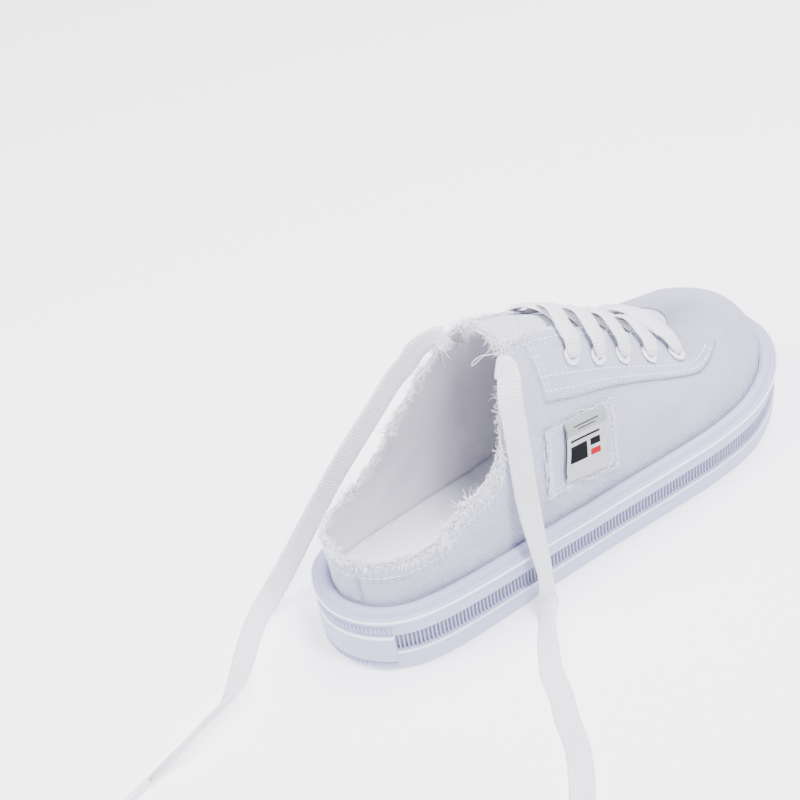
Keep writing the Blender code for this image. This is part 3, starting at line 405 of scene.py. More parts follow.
class Last:
    def __init__(self):
        self.feet = []
        for side in (0, 1):
            points = []
            for fraction in np.linspace(0, 1, 160):
                point, outward = PLAN.at(side, fraction)
                points.append(point - outward * (BEAD_INSET + CLEARANCE))
            self.feet.append(np.array(points))

    def column(self, side, fraction):
        point, outward = PLAN.at(side, fraction)
        foot = point - outward * (BEAD_INSET + CLEARANCE)
        share = length_share(foot[1])
        return foot, spine_point(share), rim_height(length_share(point[1])), crown_height(share)

    def on_column(self, column, angle):
        foot, spine, base, crown = column
        reach = 1 - math.cos(angle) ** (2 / FULLNESS)
        rise = max(math.sin(angle), 0.0) ** (2 / FULLNESS)
        plan = foot + (spine - foot) * reach
        return np.array([plan[0], plan[1], base + (crown - base) * rise])

    def half_width(self, x, y):
        share = length_share(y)
        spine = spine_point(share)
        feet = self.feet[0 if x >= spine[0] else 1]
        if share <= VAMP_FAN:
            return abs(np.interp(y, feet[:, 1], feet[:, 0]) - spine[0])
        away = feet - spine
        bearing = np.arctan2(np.abs(away[:, 0]), away[:, 1])
        here = math.atan2(abs(x - spine[0]), y - spine[1])
        order = np.argsort(bearing)
        return np.interp(here, bearing[order], np.linalg.norm(away, axis=1)[order])

    def height(self, x, y):
        share = length_share(y)
        spine = spine_point(share)
        part = min(math.hypot(x - spine[0], y - spine[1]) / self.half_width(x, y), 0.999)
        base = rim_height(share)
        return base + (crown_height(share) - base) * (1 - part ** FULLNESS) ** (1 / FULLNESS)

    def side_point(self, y, z):
        share = length_share(y)
        spine = spine_point(share)
        base = rim_height(share)
        rise = np.clip((z - base) / (crown_height(share) - base), 0, 1)
        part = (1 - rise ** FULLNESS) ** (1 / FULLNESS)
        return np.array([spine[0] + part * self.half_width(spine[0] + 0.001, y), y, z])

    def normal(self, x, y, step=0.0008):
        slope_x = (self.height(x + step, y) - self.height(x - step, y)) / (2 * step)
        slope_y = (self.height(x, y + step) - self.height(x, y - step)) / (2 * step)
        return unit((-slope_x, -slope_y, 1.0))


LAST = Last()


def edge_angle(side, column):
    """Angle at which a column of the upper ends, at the collar or at the throat."""
    foot, spine, base, crown = column
    share = length_share(foot[1])
    throat = lookup(THROAT, share) / np.linalg.norm(foot - spine)
    throat_angle = math.acos(min(throat, 0.9) ** (FULLNESS / 2))
    if share > 0.42:
        return throat_angle
    table = COLLAR_INNER if side else COLLAR_OUTER
    lift = eased(table, share) if share > 0.05 else lookup(table, share)
    rise = (COLLAR_HEEL_HEIGHT + (COLLAR_TOP_HEIGHT - COLLAR_HEEL_HEIGHT) * lift - base) / (crown - base)
    collar_angle = math.asin(rise ** (FULLNESS / 2)) if rise < 1 else math.pi / 2
    return min(collar_angle, throat_angle)


def seam_angle(column):
    foot, spine, _, _ = column
    part = lookup(EYESTAY_EDGE, length_share(foot[1])) / np.linalg.norm(foot - spine)
    return math.acos(min(part, 0.93) ** (FULLNESS / 2))


# Loose lace ends

def smooth_route(points, step):
    knots = [np.array(point) for point in points]
    padded = [2 * knots[0] - knots[1]] + knots + [2 * knots[-1] - knots[-2]]
    dense = []
    for index in range(1, len(padded) - 2):
        before, start, end, after = padded[index - 1:index + 3]
        for part in np.linspace(0, 1, 12, endpoint=False):
            dense.append(between(before, start, end, after, part))
    dense.append(knots[-1])
    dense = np.array(dense)
    run = run_along(dense[:, :3])
    count = max(4, round(run[-1] / step))
    stops = np.linspace(0, run[-1], count + 1)
    return np.stack([np.interp(stops, run, dense[:, axis]) for axis in range(dense.shape[1])], axis=1)


def evened(ways, reach):
    """Width ways averaged over their neighbours, so that a lace turns slowly."""
    padded = np.concatenate([np.repeat(ways[:1], reach, axis=0), ways, np.repeat(ways[-1:], reach, axis=0)])
    window = np.hanning(2 * reach + 3)[1:-1]
    window /= window.sum()
    return np.stack([np.convolve(padded[:, axis], window, mode="valid") for axis in range(3)], axis=1)


def over_rim(side, share):
    """Band centres and width ways where a lace end leaves the throat over the collar's rim."""
    column = LAST.column(side, PLAN.fraction_at(side, share))
    beside = LAST.column(side, PLAN.fraction_at(side, share + 0.004))
    top = edge_angle(side, column)
    point = LAST.on_column(column, top)
    along = unit(LAST.on_column(beside, edge_angle(side, beside)) - point)
    rise = point - LAST.on_column(column, top - 0.03)
    outward = unit(np.cross(along, rise) * (1 if side == 0 else -1))
    up = np.cross(outward, along)
    up *= np.sign(up[2]) / np.linalg.norm(up)
    lift = 0.0018
    drop = 0.0080 if side == 0 else 0.0050
    return [(point - outward * (WALL + 0.0013) - up * drop, along),
            (point - outward * (WALL + 0.0016) - up * 0.35 * drop, along),
            (point - outward * (WALL + 0.5 * lift) + up * 0.7 * lift, along),
            (point + up * 1.15 * lift, along),
            (point + outward * 1.2 * lift + up * 0.5 * lift, along)]


def band_mesh(name, centres, ways, half_widths, thickness=LACE_THICKNESS, ripple=0.0, seed=0, dome=0.0):
    """Flat braid with soft edges along a row of centres; ways point across it."""
    centres = np.asarray(centres, dtype=float)
    ways = np.asarray(ways, dtype=float)
    count = len(centres)
    along = np.gradient(centres, axis=0)
    along /= np.linalg.norm(along, axis=1)[:, None]
    ways = ways - along * np.sum(ways * along, axis=1)[:, None]
    ways /= np.linalg.norm(ways, axis=1)[:, None]
    face = np.cross(along, ways)
    run = run_along(centres)
    section = []
    across = 10
    for step in range(across + 1):
        section.append((1 - 2 * step / across, 1.0))
    for step in range(across + 1):
        section.append((2 * step / across - 1, -1.0))
    rng = np.random.default_rng(seed)
    waves = rng.uniform(0, 2 * math.pi, 4)
    vertices = []
    for index in range(count):
        half = half_widths[index]
        wave = ripple * (math.sin(run[index] / 0.0041 + waves[0])
                         + 0.7 * math.sin(run[index] / 0.0097 + waves[1]))
        roll = ripple * math.sin(run[index] / 0.0068 + waves[2])
        for place, side in section:
            edge = math.sqrt(max(1 - abs(place) ** 5, 0.0))
            lift = side * thickness / 2 * (0.25 + 0.75 * edge)
            curve = dome * (1 - place ** 2) + wave * 0.35 * place ** 2 + roll * place
            vertices.append(centres[index] + ways[index] * half * place + face[index] * (lift + curve))
    size = len(section)
    faces = []
    uvs = []
    for index in range(count - 1):
        for row in range(size):
            above = (row + 1) % size
            faces.append((index * size + row, index * size + above, (index + 1) * size + above,
                          (index + 1) * size + row))
            low = section[row][0] * LACE_WIDTH / 2
            high = section[above][0] * LACE_WIDTH / 2
            uvs += [(run[index], low), (run[index], high), (run[index + 1], high), (run[index + 1], low)]
    for end, order in ((0, range(size - 1, -1, -1)), (count - 1, range(size))):
        faces.append(tuple(end * size + row for row in order))
        uvs += [(run[end], 0.0)] * size
    mesh = mesh_from(name, vertices, faces, uvs)
    face_outwards(mesh)
    return mesh


def make_lace_end(name, side, rim_share, route, lace_finish, tip_finish, seed):
    stations = over_rim(side, rim_share) + list(route)
    rows = smooth_route([(*centre, *way) for centre, way in stations], 0.0016)
    centres = rows[:, :3]
    ways = evened(rows[:, 3:], 14)
    shares = np.linspace(0, 1, len(rows))
    half = np.interp(shares, (0, LACE_FULL_WIDTH, LACE_TAPER_START, 1),
                     (LACE_WIDTH / 5, LACE_WIDTH / 2, LACE_WIDTH / 2, 0.8 * AGLET_RADIUS))
    lace = add_piece(f"{name}_lace_end", band_mesh(f"{name}_lace_end", centres, ways, half,
                                                  ripple=0.00012, seed=seed), lace_finish)
    away = centres[-1] - centres[-2]
    away[2] = 0.0
    away = unit(away)
    tip = make_aglet(f"{name}_lace_tip", centres[-1], away, tip_finish)
    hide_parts(f"lace_end_{name}")
    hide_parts(f"aglet_{name}")


def settle(piece, matrix):
    """Puts a piece's place into its mesh, so that its object sits at the origin."""
    piece.data.transform(matrix)
    piece.matrix_world = Matrix.Identity(4)


def make_aglet(name, start, away, finish):
    """Rolled film tip: a cylinder with soft edges and a small step pressed into each end."""
    leave_all()
    bpy.ops.mesh.primitive_cylinder_add(vertices=20, radius=AGLET_RADIUS, depth=AGLET_LENGTH)
    tip = bpy.context.object
    tip.name = name
    bpy.ops.object.mode_set(mode="EDIT")
    bpy.ops.mesh.select_all(action="DESELECT")
    body = bmesh.from_edit_mesh(tip.data)
    for face in body.faces:
        face.select = abs(face.normal.z) > 0.9
    bmesh.update_edit_mesh(tip.data)
    bpy.ops.mesh.inset(thickness=0.00035)
    bpy.ops.mesh.inset(thickness=0.0004, depth=-0.0003)
    bpy.ops.object.mode_set(mode="OBJECT")
    bevel = tip.modifiers.new("soft edge", "BEVEL")
    bevel.width = 0.00022
    bevel.segments = 2
    bpy.ops.object.modifier_apply(modifier="soft edge")
    bpy.ops.object.shade_smooth_by_angle(angle=math.radians(40))
    turn = Vector((0, 0, 1)).rotation_difference(Vector(away)).to_matrix().to_4x4()
    middle = Vector(start) + Vector(away) * (AGLET_LENGTH / 2 + CLEARANCE)
    middle.z = AGLET_RADIUS
    settle(tip, Matrix.Translation(middle) @ turn)
    tip.data.materials.append(finish)
    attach(tip, "root")
    return tip


# Shader node groups

def new_group(name, inputs, outputs):
    group = bpy.data.node_groups.new(name, "ShaderNodeTree")
    for label, kind, value in inputs:
        socket = group.interface.new_socket(label, in_out="INPUT", socket_type=kind)
        if value is not None:
            socket.default_value = value
    for label, kind in outputs:
        group.interface.new_socket(label, in_out="OUTPUT", socket_type=kind)
    return group, group.nodes.new("NodeGroupInput"), group.nodes.new("NodeGroupOutput")


def math_node(tree, operation, first, second=None, third=None):
    node = tree.nodes.new("ShaderNodeMath")
    node.operation = operation
    for index, value in enumerate((first, second, third)):
        if value is None:
            continue
        if isinstance(value, (int, float)):
            node.inputs[index].default_value = value
        else:
            tree.links.new(value, node.inputs[index])
    return node.outputs[0]


def noise_node(tree, vector, scale, detail=3.0, roughness=0.55):
    node = tree.nodes.new("ShaderNodeTexNoise")
    node.inputs["Scale"].default_value = scale
    node.inputs["Detail"].default_value = detail
    node.inputs["Roughness"].default_value = roughness
    tree.links.new(vector, node.inputs["Vector"])
    return node.outputs["Fac"]


def mixed(tree, factor, colour, other, blend="MIX"):
    """One colour laid over another, by a mask."""
    node = tree.nodes.new("ShaderNodeMix")
    node.data_type = "RGBA"
    node.blend_type = blend
    tree.links.new(factor, node.inputs["Factor"])
    tree.links.new(colour, node.inputs[6])
    if isinstance(other, tuple):
        node.inputs[7].default_value = other
    else:
        tree.links.new(other, node.inputs[7])
    return node.outputs[2]


def make_twill_group():
    """Twill threads in metres of cloth: raised diagonal ribs crossed by single threads, with a Gap mask that
    the finishes use for painted shade between the threads.
    """
    group, taken, given = new_group("twill threads", (("Vector", "NodeSocketVector", None),
                                                     ("Pitch", "NodeSocketFloat", 0.0009),
                                                     ("Slub", "NodeSocketFloat", 0.0003)),
                                    (("Height", "NodeSocketFloat"), ("Gap", "NodeSocketFloat")))
    split = group.nodes.new("ShaderNodeSeparateXYZ")
    group.links.new(taken.outputs["Vector"], split.inputs[0])
    wander = noise_node(group, taken.outputs["Vector"], 260.0, 2.0)
    slub = math_node(group, "MULTIPLY", math_node(group, "SUBTRACT", wander, 0.5), taken.outputs["Slub"])
    u = math_node(group, "ADD", split.outputs["X"], slub)
    v = math_node(group, "SUBTRACT", split.outputs["Y"], slub)
    turn = math_node(group, "DIVIDE", 2 * math.pi, taken.outputs["Pitch"])
    diagonal = math_node(group, "SINE", math_node(group, "MULTIPLY", math_node(group, "ADD", u, v), turn))
    warp = math_node(group, "ABSOLUTE", math_node(group, "SINE", math_node(group, "MULTIPLY", u, turn)))
    weft = math_node(group, "ABSOLUTE", math_node(group, "SINE", math_node(group, "MULTIPLY", v, turn)))
    threads = math_node(group, "MULTIPLY", warp, weft)
    ribs = math_node(group, "MULTIPLY_ADD", diagonal, 0.32, 0.32)
    height = math_node(group, "MULTIPLY_ADD", threads, 0.36, ribs)
    gap = math_node(group, "SUBTRACT", 1.0, height)
    group.links.new(height, given.inputs["Height"])
    group.links.new(gap, given.inputs["Gap"])
    return group


def make_braid_group():
    """Flat braid: strands that run out from the middle to both edges."""
    group, taken, given = new_group("flat braid", (("Vector", "NodeSocketVector", None),
                                                  ("Pitch", "NodeSocketFloat", 0.0013)),
                                    (("Height", "NodeSocketFloat"),))
    split = group.nodes.new("ShaderNodeSeparateXYZ")
    group.links.new(taken.outputs["Vector"], split.inputs[0])
    turn = math_node(group, "DIVIDE", 2 * math.pi, taken.outputs["Pitch"])
    spread = math_node(group, "MULTIPLY", math_node(group, "ABSOLUTE", split.outputs["Y"]), 0.9)
    strand = math_node(group, "SINE", math_node(group, "MULTIPLY",
                                                math_node(group, "ADD", split.outputs["X"], spread), turn))
    column = math_node(group, "SINE",
                       math_node(group, "MULTIPLY", split.outputs["Y"], 2 * math.pi / 0.0016))
    height = math_node(group, "MULTIPLY_ADD", math_node(group, "MULTIPLY", strand, column), 0.4, 0.5)
    group.links.new(height, given.inputs["Height"])
    return group


def make_marks_and_low_shade_group():
    """Soft uneven greying: broad clouds, and painted shade that greys the cloth more low down, towards the
    sole, by the Low amount.
    """
    group, taken, given = new_group("handling marks and painted low shade", (("Vector", "NodeSocketVector", None),
                                                      ("Clean", "NodeSocketColor", (0.9, 0.9, 0.9, 1)),
                                                      ("Marked", "NodeSocketColor", (0.8, 0.8, 0.8, 1)),
                                                      ("Amount", "NodeSocketFloat", 0.5),
                                                      ("Low", "NodeSocketFloat", 0.0)),
                                    (("Color", "NodeSocketColor"),))
    broad = noise_node(group, taken.outputs["Vector"], 38.0, 4.0)
    fine = noise_node(group, taken.outputs["Vector"], 700.0, 2.0)
    split = group.nodes.new("ShaderNodeSeparateXYZ")
    group.links.new(taken.outputs["Vector"], split.inputs[0])
    # Painted shade low down: nothing above 62 mm, full at 34 mm and below.
    down = math_node(group, "MULTIPLY_ADD", split.outputs["Z"], -1 / 0.028, 0.062 / 0.028)
    down = math_node(group, "MAXIMUM", math_node(group, "MINIMUM", down, 1.0), 0.0)
    painted_low_shade = math_node(group, "MULTIPLY", math_node(group, "MULTIPLY", down, taken.outputs["Low"]), broad)
    mask = math_node(group, "MULTIPLY_ADD", math_node(group, "MULTIPLY_ADD", fine, 0.35, broad),
                     taken.outputs["Amount"], painted_low_shade)
    mask = math_node(group, "MINIMUM", mask, 1.0)
    colour = mixed(group, mask, taken.outputs["Clean"], taken.outputs["Marked"])
    group.links.new(colour, given.inputs["Color"])
    return group


TWILL = make_twill_group()
BRAID = make_braid_group()
MARKS_AND_LOW_SHADE = make_marks_and_low_shade_group()


def new_finish(name, roughness, **direct):
    finish = bpy.data.materials.new(name)
    finish.use_nodes = True
    tree = finish.node_tree
    shader = tree.nodes["Principled BSDF"]
    shader.inputs["Roughness"].default_value = roughness
    for label, value in direct.items():
        shader.inputs[label.replace("_", " ")].default_value = value
    return finish, tree, shader


def place_group(tree, group, vector, **values):
    node = tree.nodes.new("ShaderNodeGroup")
    node.node_tree = group
    tree.links.new(vector, node.inputs["Vector"])
    for label, value in values.items():
        node.inputs[label].default_value = value
    return node


def bump(tree, shader, height, distance, strength=1.0, under=None):
    node = tree.nodes.new("ShaderNodeBump")
    node.inputs["Distance"].default_value = distance
    node.inputs["Strength"].default_value = strength
    tree.links.new(height, node.inputs["Height"])
    if under is not None:
        tree.links.new(under, node.inputs["Normal"])
    tree.links.new(node.outputs["Normal"], shader.inputs["Normal"])
    return node.outputs["Normal"]


def coordinates(tree, kind):
    return tree.nodes.new("ShaderNodeTexCoord").outputs[kind]


def marks_with_low_shade(tree, place, clean, marked, amount, low=0.0):
    """Colour of a handled surface, from its clean colour to its marked one, with painted shade low down by
    the low amount.
    """
    node = place_group(tree, MARKS_AND_LOW_SHADE, place, Clean=(*clean, 1), Marked=(*marked, 1), Amount=amount, Low=low)
    return node.outputs["Color"]


def cloth_finish(name, clean, marked, amount, pitch, relief, sheen=0.25, low=0.0):
    finish, tree, shader = new_finish(name, 0.92, Sheen_Weight=sheen, Sheen_Roughness=0.6)
    shader.inputs["Specular IOR Level"].default_value = 0.25
    place = coordinates(tree, "Object")
    surface_colour = marks_with_low_shade(tree, place, clean, marked, amount, low)
    twill = place_group(tree, TWILL, coordinates(tree, "UV"), Pitch=pitch, Slub=pitch * 0.35)
    # Painted shade: the cloth's colour darkens in the gaps between its threads.
    gap = math_node(tree, "MULTIPLY", twill.outputs["Gap"], 0.70)
    tree.links.new(mixed(tree, gap, surface_colour, (0.62, 0.62, 0.66, 1), "MULTIPLY"), shader.inputs["Base Color"])
    soft = bump(tree, shader, noise_node(tree, place, 120.0, 3.0), 0.0012, 0.35)
    bump(tree, shader, twill.outputs["Height"], relief, 1.0, soft)
    return finish


def rubber_finish(name, clean, marked, polish=0.40):
    finish, tree, shader = new_finish(name, 0.5)
    shader.inputs["Specular IOR Level"].default_value = 0.42
    place = coordinates(tree, "Object")
    tree.links.new(marks_with_low_shade(tree, place, clean, marked, 0.35), shader.inputs["Base Color"])
    rough = math_node(tree, "MULTIPLY_ADD", noise_node(tree, place, 900.0, 3.0), 0.22, polish)
    tree.links.new(rough, shader.inputs["Roughness"])
    skin = bump(tree, shader, noise_node(tree, place, 2400.0, 2.0), 0.00012, 0.5)
    bump(tree, shader, noise_node(tree, place, 90.0, 2.0), 0.0006, 0.25, skin)
    return finish


def lace_finish_for(name, clean):
    finish, tree, shader = new_finish(name, 0.85, Sheen_Weight=0.2, Sheen_Roughness=0.5)
    shader.inputs["Specular IOR Level"].default_value = 0.25
    braid = place_group(tree, BRAID, coordinates(tree, "UV"), Pitch=0.0014)
    surface_colour = marks_with_low_shade(tree, coordinates(tree, "Object"), clean, (0.88, 0.88, 0.92), 0.4)
    # Painted shade: the braid's colour darkens between its strands.
    gap = math_node(tree, "MULTIPLY_ADD", braid.outputs["Height"], -0.45, 0.42)
    tree.links.new(mixed(tree, gap, surface_colour, (0.70, 0.70, 0.74, 1), "MULTIPLY"), shader.inputs["Base Color"])
    bump(tree, shader, braid.outputs["Height"], 0.00055, 1.0)
    return finish


def thread_finish(name, clean):
    finish, tree, shader = new_finish(name, 0.9, Sheen_Weight=0.2)
    shader.inputs["Specular IOR Level"].default_value = 0.2
    surface_colour = marks_with_low_shade(tree, coordinates(tree, "Object"), clean, (0.82, 0.82, 0.85), 0.5)
    tree.links.new(surface_colour, shader.inputs["Base Color"])
    return finish


def enamel_finish(name):
    finish, tree, shader = new_finish(name, 0.25, Coat_Weight=0.6, Coat_Roughness=0.08)
    place = coordinates(tree, "Object")
    surface_colour = marks_with_low_shade(tree, place, (0.93, 0.93, 0.96), (0.84, 0.84, 0.88), 0.4)
    tree.links.new(surface_colour, shader.inputs["Base Color"])
    rough = math_node(tree, "MULTIPLY_ADD", noise_node(tree, place, 1200.0, 2.0), 0.25, 0.22)
    tree.links.new(rough, shader.inputs["Roughness"])
    return finish


def film_finish(name):
    finish, tree, shader = new_finish(name, 0.25)
    place = coordinates(tree, "Object")
    surface_colour = marks_with_low_shade(tree, place, (0.84, 0.84, 0.86), (0.70, 0.70, 0.74), 0.6)
    tree.links.new(surface_colour, shader.inputs["Base Color"])
    bump(tree, shader, noise_node(tree, place, 600.0, 2.0), 0.0001, 0.5)
    return finish


# The canvas's low=1.0 is painted shade: it darkens the cloth towards the sole.
CANVAS = cloth_finish("white twill", (0.80, 0.81, 0.955), (0.62, 0.625, 0.78), 0.34, 0.00125, 0.00055,
                      low=1.0)
LINING = cloth_finish("lining cloth", (0.92, 0.895, 0.94), (0.87, 0.84, 0.89), 0.4, 0.0009, 0.00020, 0.15)
# Painted light: the tongue twill is set lighter than the white twill, to offset the shade that falls on it
# under the laces.
TONGUE_CLOTH = cloth_finish("tongue twill", (0.87, 0.875, 0.97), (0.80, 0.805, 0.91), 0.40, 0.00125,
                            0.00040)
INSOLE_CLOTH = cloth_finish("insole cloth", (0.92, 0.915, 0.98), (0.87, 0.86, 0.93), 0.4, 0.0008,
                            0.00014, 0.1)
# Painted shade: the moulded white rubber is set grey-lavender, darker than white, to stand for the shade on
# the sole's side walls.
RUBBER = rubber_finish("moulded white rubber", (0.48, 0.485, 0.67), (0.42, 0.425, 0.60))
# Painted shade: darker rubber on the ribbed groove floor stands for the shade inside the groove.
RUBBER_GROOVE_PAINTED_SHADE = rubber_finish("rubber with painted shade in the grooves", (0.38, 0.385, 0.53), (0.32, 0.325, 0.45),
                               0.55)
# Painted highlight: near-white rubber on the lip and the thin line stands for the light these edges catch.
RUBBER_EDGE_PAINTED_HIGHLIGHT = rubber_finish("rubber with painted highlight on the lip and thin line", (0.93, 0.935, 0.985), (0.86, 0.865, 0.94),
                             0.25)
LACE_CLOTH = lace_finish_for("flat white braid", (0.97, 0.97, 0.995))
THREAD = thread_finish("sewing thread", (0.86, 0.865, 0.95))
FRAY = thread_finish("raw cotton ends", (0.97, 0.97, 0.99))
ENAMEL = enamel_finish("white enamel")
FILM = film_finish("clear film")


# Camera, set from the shoe's own frame

def make_camera():
    data = bpy.data.cameras.new("camera")
    data.lens = 67.5
    data.sensor_width = 36.0
    data.clip_start = 0.01
    camera = bpy.data.objects.new("camera", data)
    bpy.context.collection.objects.link(camera)
    azimuth = math.radians(53.91)
    elevation = math.radians(36.24)
    roll = math.radians(-9.54)
    back = Vector((math.sin(azimuth) * math.cos(elevation), -math.cos(azimuth) * math.cos(elevation),
                   math.sin(elevation)))
    level = Vector((math.cos(azimuth), math.sin(azimuth), 0.0))
    upright = back.cross(level)
    right = level * math.cos(roll) + upright * math.sin(roll)
    up = upright * math.cos(roll) - level * math.sin(roll)
    target = Vector((-0.11611, 0.00287, 0.0))
    place = target + back * 0.75207
    camera.matrix_world = Matrix(((right.x, up.x, back.x, place.x), (right.y, up.y, back.y, place.y),
                                  (right.z, up.z, back.z, place.z), (0, 0, 0, 1)))
    bpy.context.scene.camera = camera


make_camera()
make_lace_end("outer", 0, OUTER_LACE_RIM, OUTER_LACE_ROUTE, LACE_CLOTH, FILM, 3)
make_lace_end("inner", 1, INNER_LACE_RIM, INNER_LACE_ROUTE, LACE_CLOTH, FILM, 5)


# Sole

def sole_zone(side, fraction):
    run = PLAN.run_length(side)
    if fraction * run < BUMPER_HALF_ARC:
        return "bumper"
    if (1 - fraction) * run < GROOVE_END_GAP:
        return "plain"
    return "groove"


def sole_profile(zone, share):
    """Inset, height and rib height of each row of the side wall."""
    low = tread_height(share)
    rim = rim_height(share)
    tall = rim - low
    line = 0.0005
    band = 0.0011
    floor = band + GROOVE_DEPTH
    strip = 0.8 * band if zone == "bumper" else 0.0
    if zone == "bumper":
        middle = [(band, 0.20, 0), (0.0, 0.22, 0), (0.0, 0.40, 0), (0.0, 0.41, 0), (0.0, 0.66, 0),
                  (0.0, 0.69, 0), (band, 0.71, 0)]
    elif zone == "groove":
        middle = [(band, 0.345, 0), (line, 0.355, 0), (line, 0.390, 0), (floor, 0.40, RIB_DEPTH),
                  (floor, 0.68, RIB_DEPTH), (band, 0.69, 0), (band, 0.71, 0)]
    else:
        middle = [(band, 0.345, 0), (line, 0.355, 0), (line, 0.390, 0), (band, 0.40, 0), (band, 0.66, 0),
                  (band, 0.69, 0), (band, 0.71, 0)]
    rows = [(0.0080, low, 0), (0.0030, low, 0), (0.0013, low + 0.0016, 0)]
    strips = [(band, 0.090, 0), (band, 0.100, strip), (band, 0.175, strip), (band, 0.185, 0)]
    strips += middle
    strips += [(band, 0.735, 0), (band, 0.745, strip), (band, 0.845, strip), (band, 0.855, 0),
               (band, 0.88, 0), (0.0004, 0.90, 0)]
    rows += [(inset, low + part * tall, rib) for inset, part, rib in strips]
    closed = BEAD_INSET + 0.8 * CLEARANCE
    rows += [(0.0004, rim - 0.0016, 0), (-0.0004, rim - 0.0013, 0), (-0.0004, rim - 0.0004, 0),
             (0.0005, rim - 0.0003, 0), (0.0010, rim - 0.0009, 0), (BEAD_INSET - 0.0050, rim - 0.0005, 0),
             (BEAD_INSET - 0.0040, rim + 0.8 * BEAD_HEIGHT, 0), (BEAD_INSET - 0.0016, rim + BEAD_HEIGHT, 0),
             (closed, rim + 0.35 * BEAD_HEIGHT, 0), (closed, rim - CUP_DEPTH, 0)]
    return rows


def softened(rows, radius=0.00035):
    """Section with each corner cut to a short chamfer, which smooth shading rounds."""
    points = [np.array(row, dtype=float) for row in rows]
    result = [points[0]]
    for before, corner, after in zip(points, points[1:], points[2:]):
        for other in (before, after):
            away = other - corner
            size = np.linalg.norm(away[:2]) or 1e-9
            result.append(corner + away * min(radius / size, 0.42))
    result.append(points[-1])
    return np.array(result)


def sole_columns(side, ribs, plain):
    """Columns of one side from heel to toe: four for each rib, then even ones round the toe."""
    run = PLAN.run_length(side)
    ribbed = run - GROOVE_END_GAP
    pitch = ribbed / ribs
    columns = [(0.0, 0.0)]
    for index in range(ribs):
        columns += [((index + phase) * pitch / run, raised)
                    for phase, raised in ((0.08, 1.0), (0.42, 1.0), (0.56, 0.0), (0.94, 0.0))]
    columns += [(place, 0.0) for place in np.linspace(ribbed / run, 1.0, plain)]
    return columns


def rubber_rows(profile, share, zone):
    """Finish of each face of a column: 1 in the ribbed groove, darker as painted shade; 2 on the lip and the
    thin line, lighter as painted highlight; else 0.
    """
    low = tread_height(share)
    tall = rim_height(share) - low
    inset = (profile[1:, 0] + profile[:-1, 0]) / 2
    part = ((profile[1:, 1] + profile[:-1, 1]) / 2 - low) / tall
    groove = (inset > 0.0022) & (part > 0.38) & (part < 0.70)
    low_part, high_part = (0.655, 0.70) if zone == "bumper" else (0.34, 0.40)
    line = (inset < 0.0009) & (part > low_part) & (part < high_part)
    lip = (inset < 0.0004) & (part > 0.94)
    return np.where(groove, 1, np.where(line | lip, 2, 0)).tolist()


def make_sole():
    ribs = int((PLAN.run_length(0) - GROOVE_END_GAP) / RIB_PITCH)
    outer, inner = (sole_columns(side, ribs, 36) for side in (0, 1))
    ring = [(0, *place) for place in outer] + [(1, *place) for place in inner[1:-1][::-1]]
    count = len(ring)
    grid = []
    finish_of = []
    for side, fraction, raised in ring:
        point, outward = PLAN.at(side, fraction)
        share = length_share(point[1])
        zone = sole_zone(side, fraction)
        profile = softened(sole_profile(zone, share))
        finish_of.append(rubber_rows(profile, share, zone))
        grid.append([(*(point - outward * (inset - rib * raised)), height)
                     for inset, height, rib in profile])
    grid = np.array(grid)
    rows = grid.shape[1]
    faces = []
    slots = []
    for column in range(count):
        after = (column + 1) % count
        for row in range(rows - 1):
            faces.append((column * rows + row, after * rows + row,
                          after * rows + row + 1, column * rows + row + 1))
            slots.append(finish_of[column][row])
    half = count // 2
    for row, flip in ((0, True), (rows - 1, False)):
        for index in range(half):
            a, b = index, index + 1
            c, d = (count - b) % count, (count - a) % count
            face = [a * rows + row, b * rows + row]
            if c != b:
                face.append(c * rows + row)
            if d != a:
                face.append(d * rows + row)
            faces.append(tuple(reversed(face)) if flip else tuple(face))
            slots.append(0)
    mesh = mesh_from("sole_rubber", grid.reshape(-1, 3), faces, slots=slots)
    face_outwards(mesh)
    sole = add_piece("sole_rubber", mesh, RUBBER, RUBBER_GROOVE_PAINTED_SHADE, RUBBER_EDGE_PAINTED_HIGHLIGHT)
    cut_tread(sole)
    work_on(sole)
    bpy.ops.object.shade_smooth_by_angle(angle=math.radians(48))
    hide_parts("sole")


def cut_tread(sole):
    """Cross grooves of the tread, cut by one set of bars."""
    bars = bmesh.new()
    first = -LENGTH / 2 + TREAD_HEEL_GAP
    last = LENGTH / 2 - TREAD_TOE_GAP
    for index in range(int((last - first) / TREAD_PITCH) + 1):
        y = first + index * TREAD_PITCH
        share = length_share(y)
        if TREAD_WAIST[0] < share < TREAD_WAIST[1]:
            continue
        outer = PLAN.at(0, PLAN.fraction_at(0, share))[0][0] - TREAD_MARGIN
        inner = PLAN.at(1, PLAN.fraction_at(1, share))[0][0] + TREAD_MARGIN
        box = bmesh.ops.create_cube(bars, size=1.0)["verts"]
        bmesh.ops.scale(bars, verts=box, vec=(outer - inner, TREAD_GROOVE_WIDTH, 2 * TREAD_GROOVE_DEPTH))
        bmesh.ops.translate(bars, verts=box, vec=((outer + inner) / 2, y, tread_height(share)))
    cut_with(sole, bars, "tread bars")


make_sole()


# Upper

def eyelet_places():
    places = []
    for share, distance in EYELETS:
        y = (share - 0.5) * LENGTH
        for side, name in ((1, "outer"), (-1, "inner")):
            x = spine_point(share)[0] + side * distance
            outward = LAST.normal(x, y, EYELET_FLANGE_RADIUS)
            point = np.array([x, y, LAST.height(x, y)])
            highest = 0.0
            for turn in np.linspace(0, 2 * math.pi, 12, endpoint=False):
                for radius in (0.5 * EYELET_FLANGE_RADIUS, EYELET_FLANGE_RADIUS):
                    around = (x + radius * math.cos(turn), y + radius * math.sin(turn))
                    spot = np.array([*around, LAST.height(*around)])
                    highest = max(highest, float(np.dot(spot - point, outward)))
            places.append((name, point + outward * (EYESTAY_STEP + highest), outward))
    return places


EYELET_PLACES = eyelet_places()


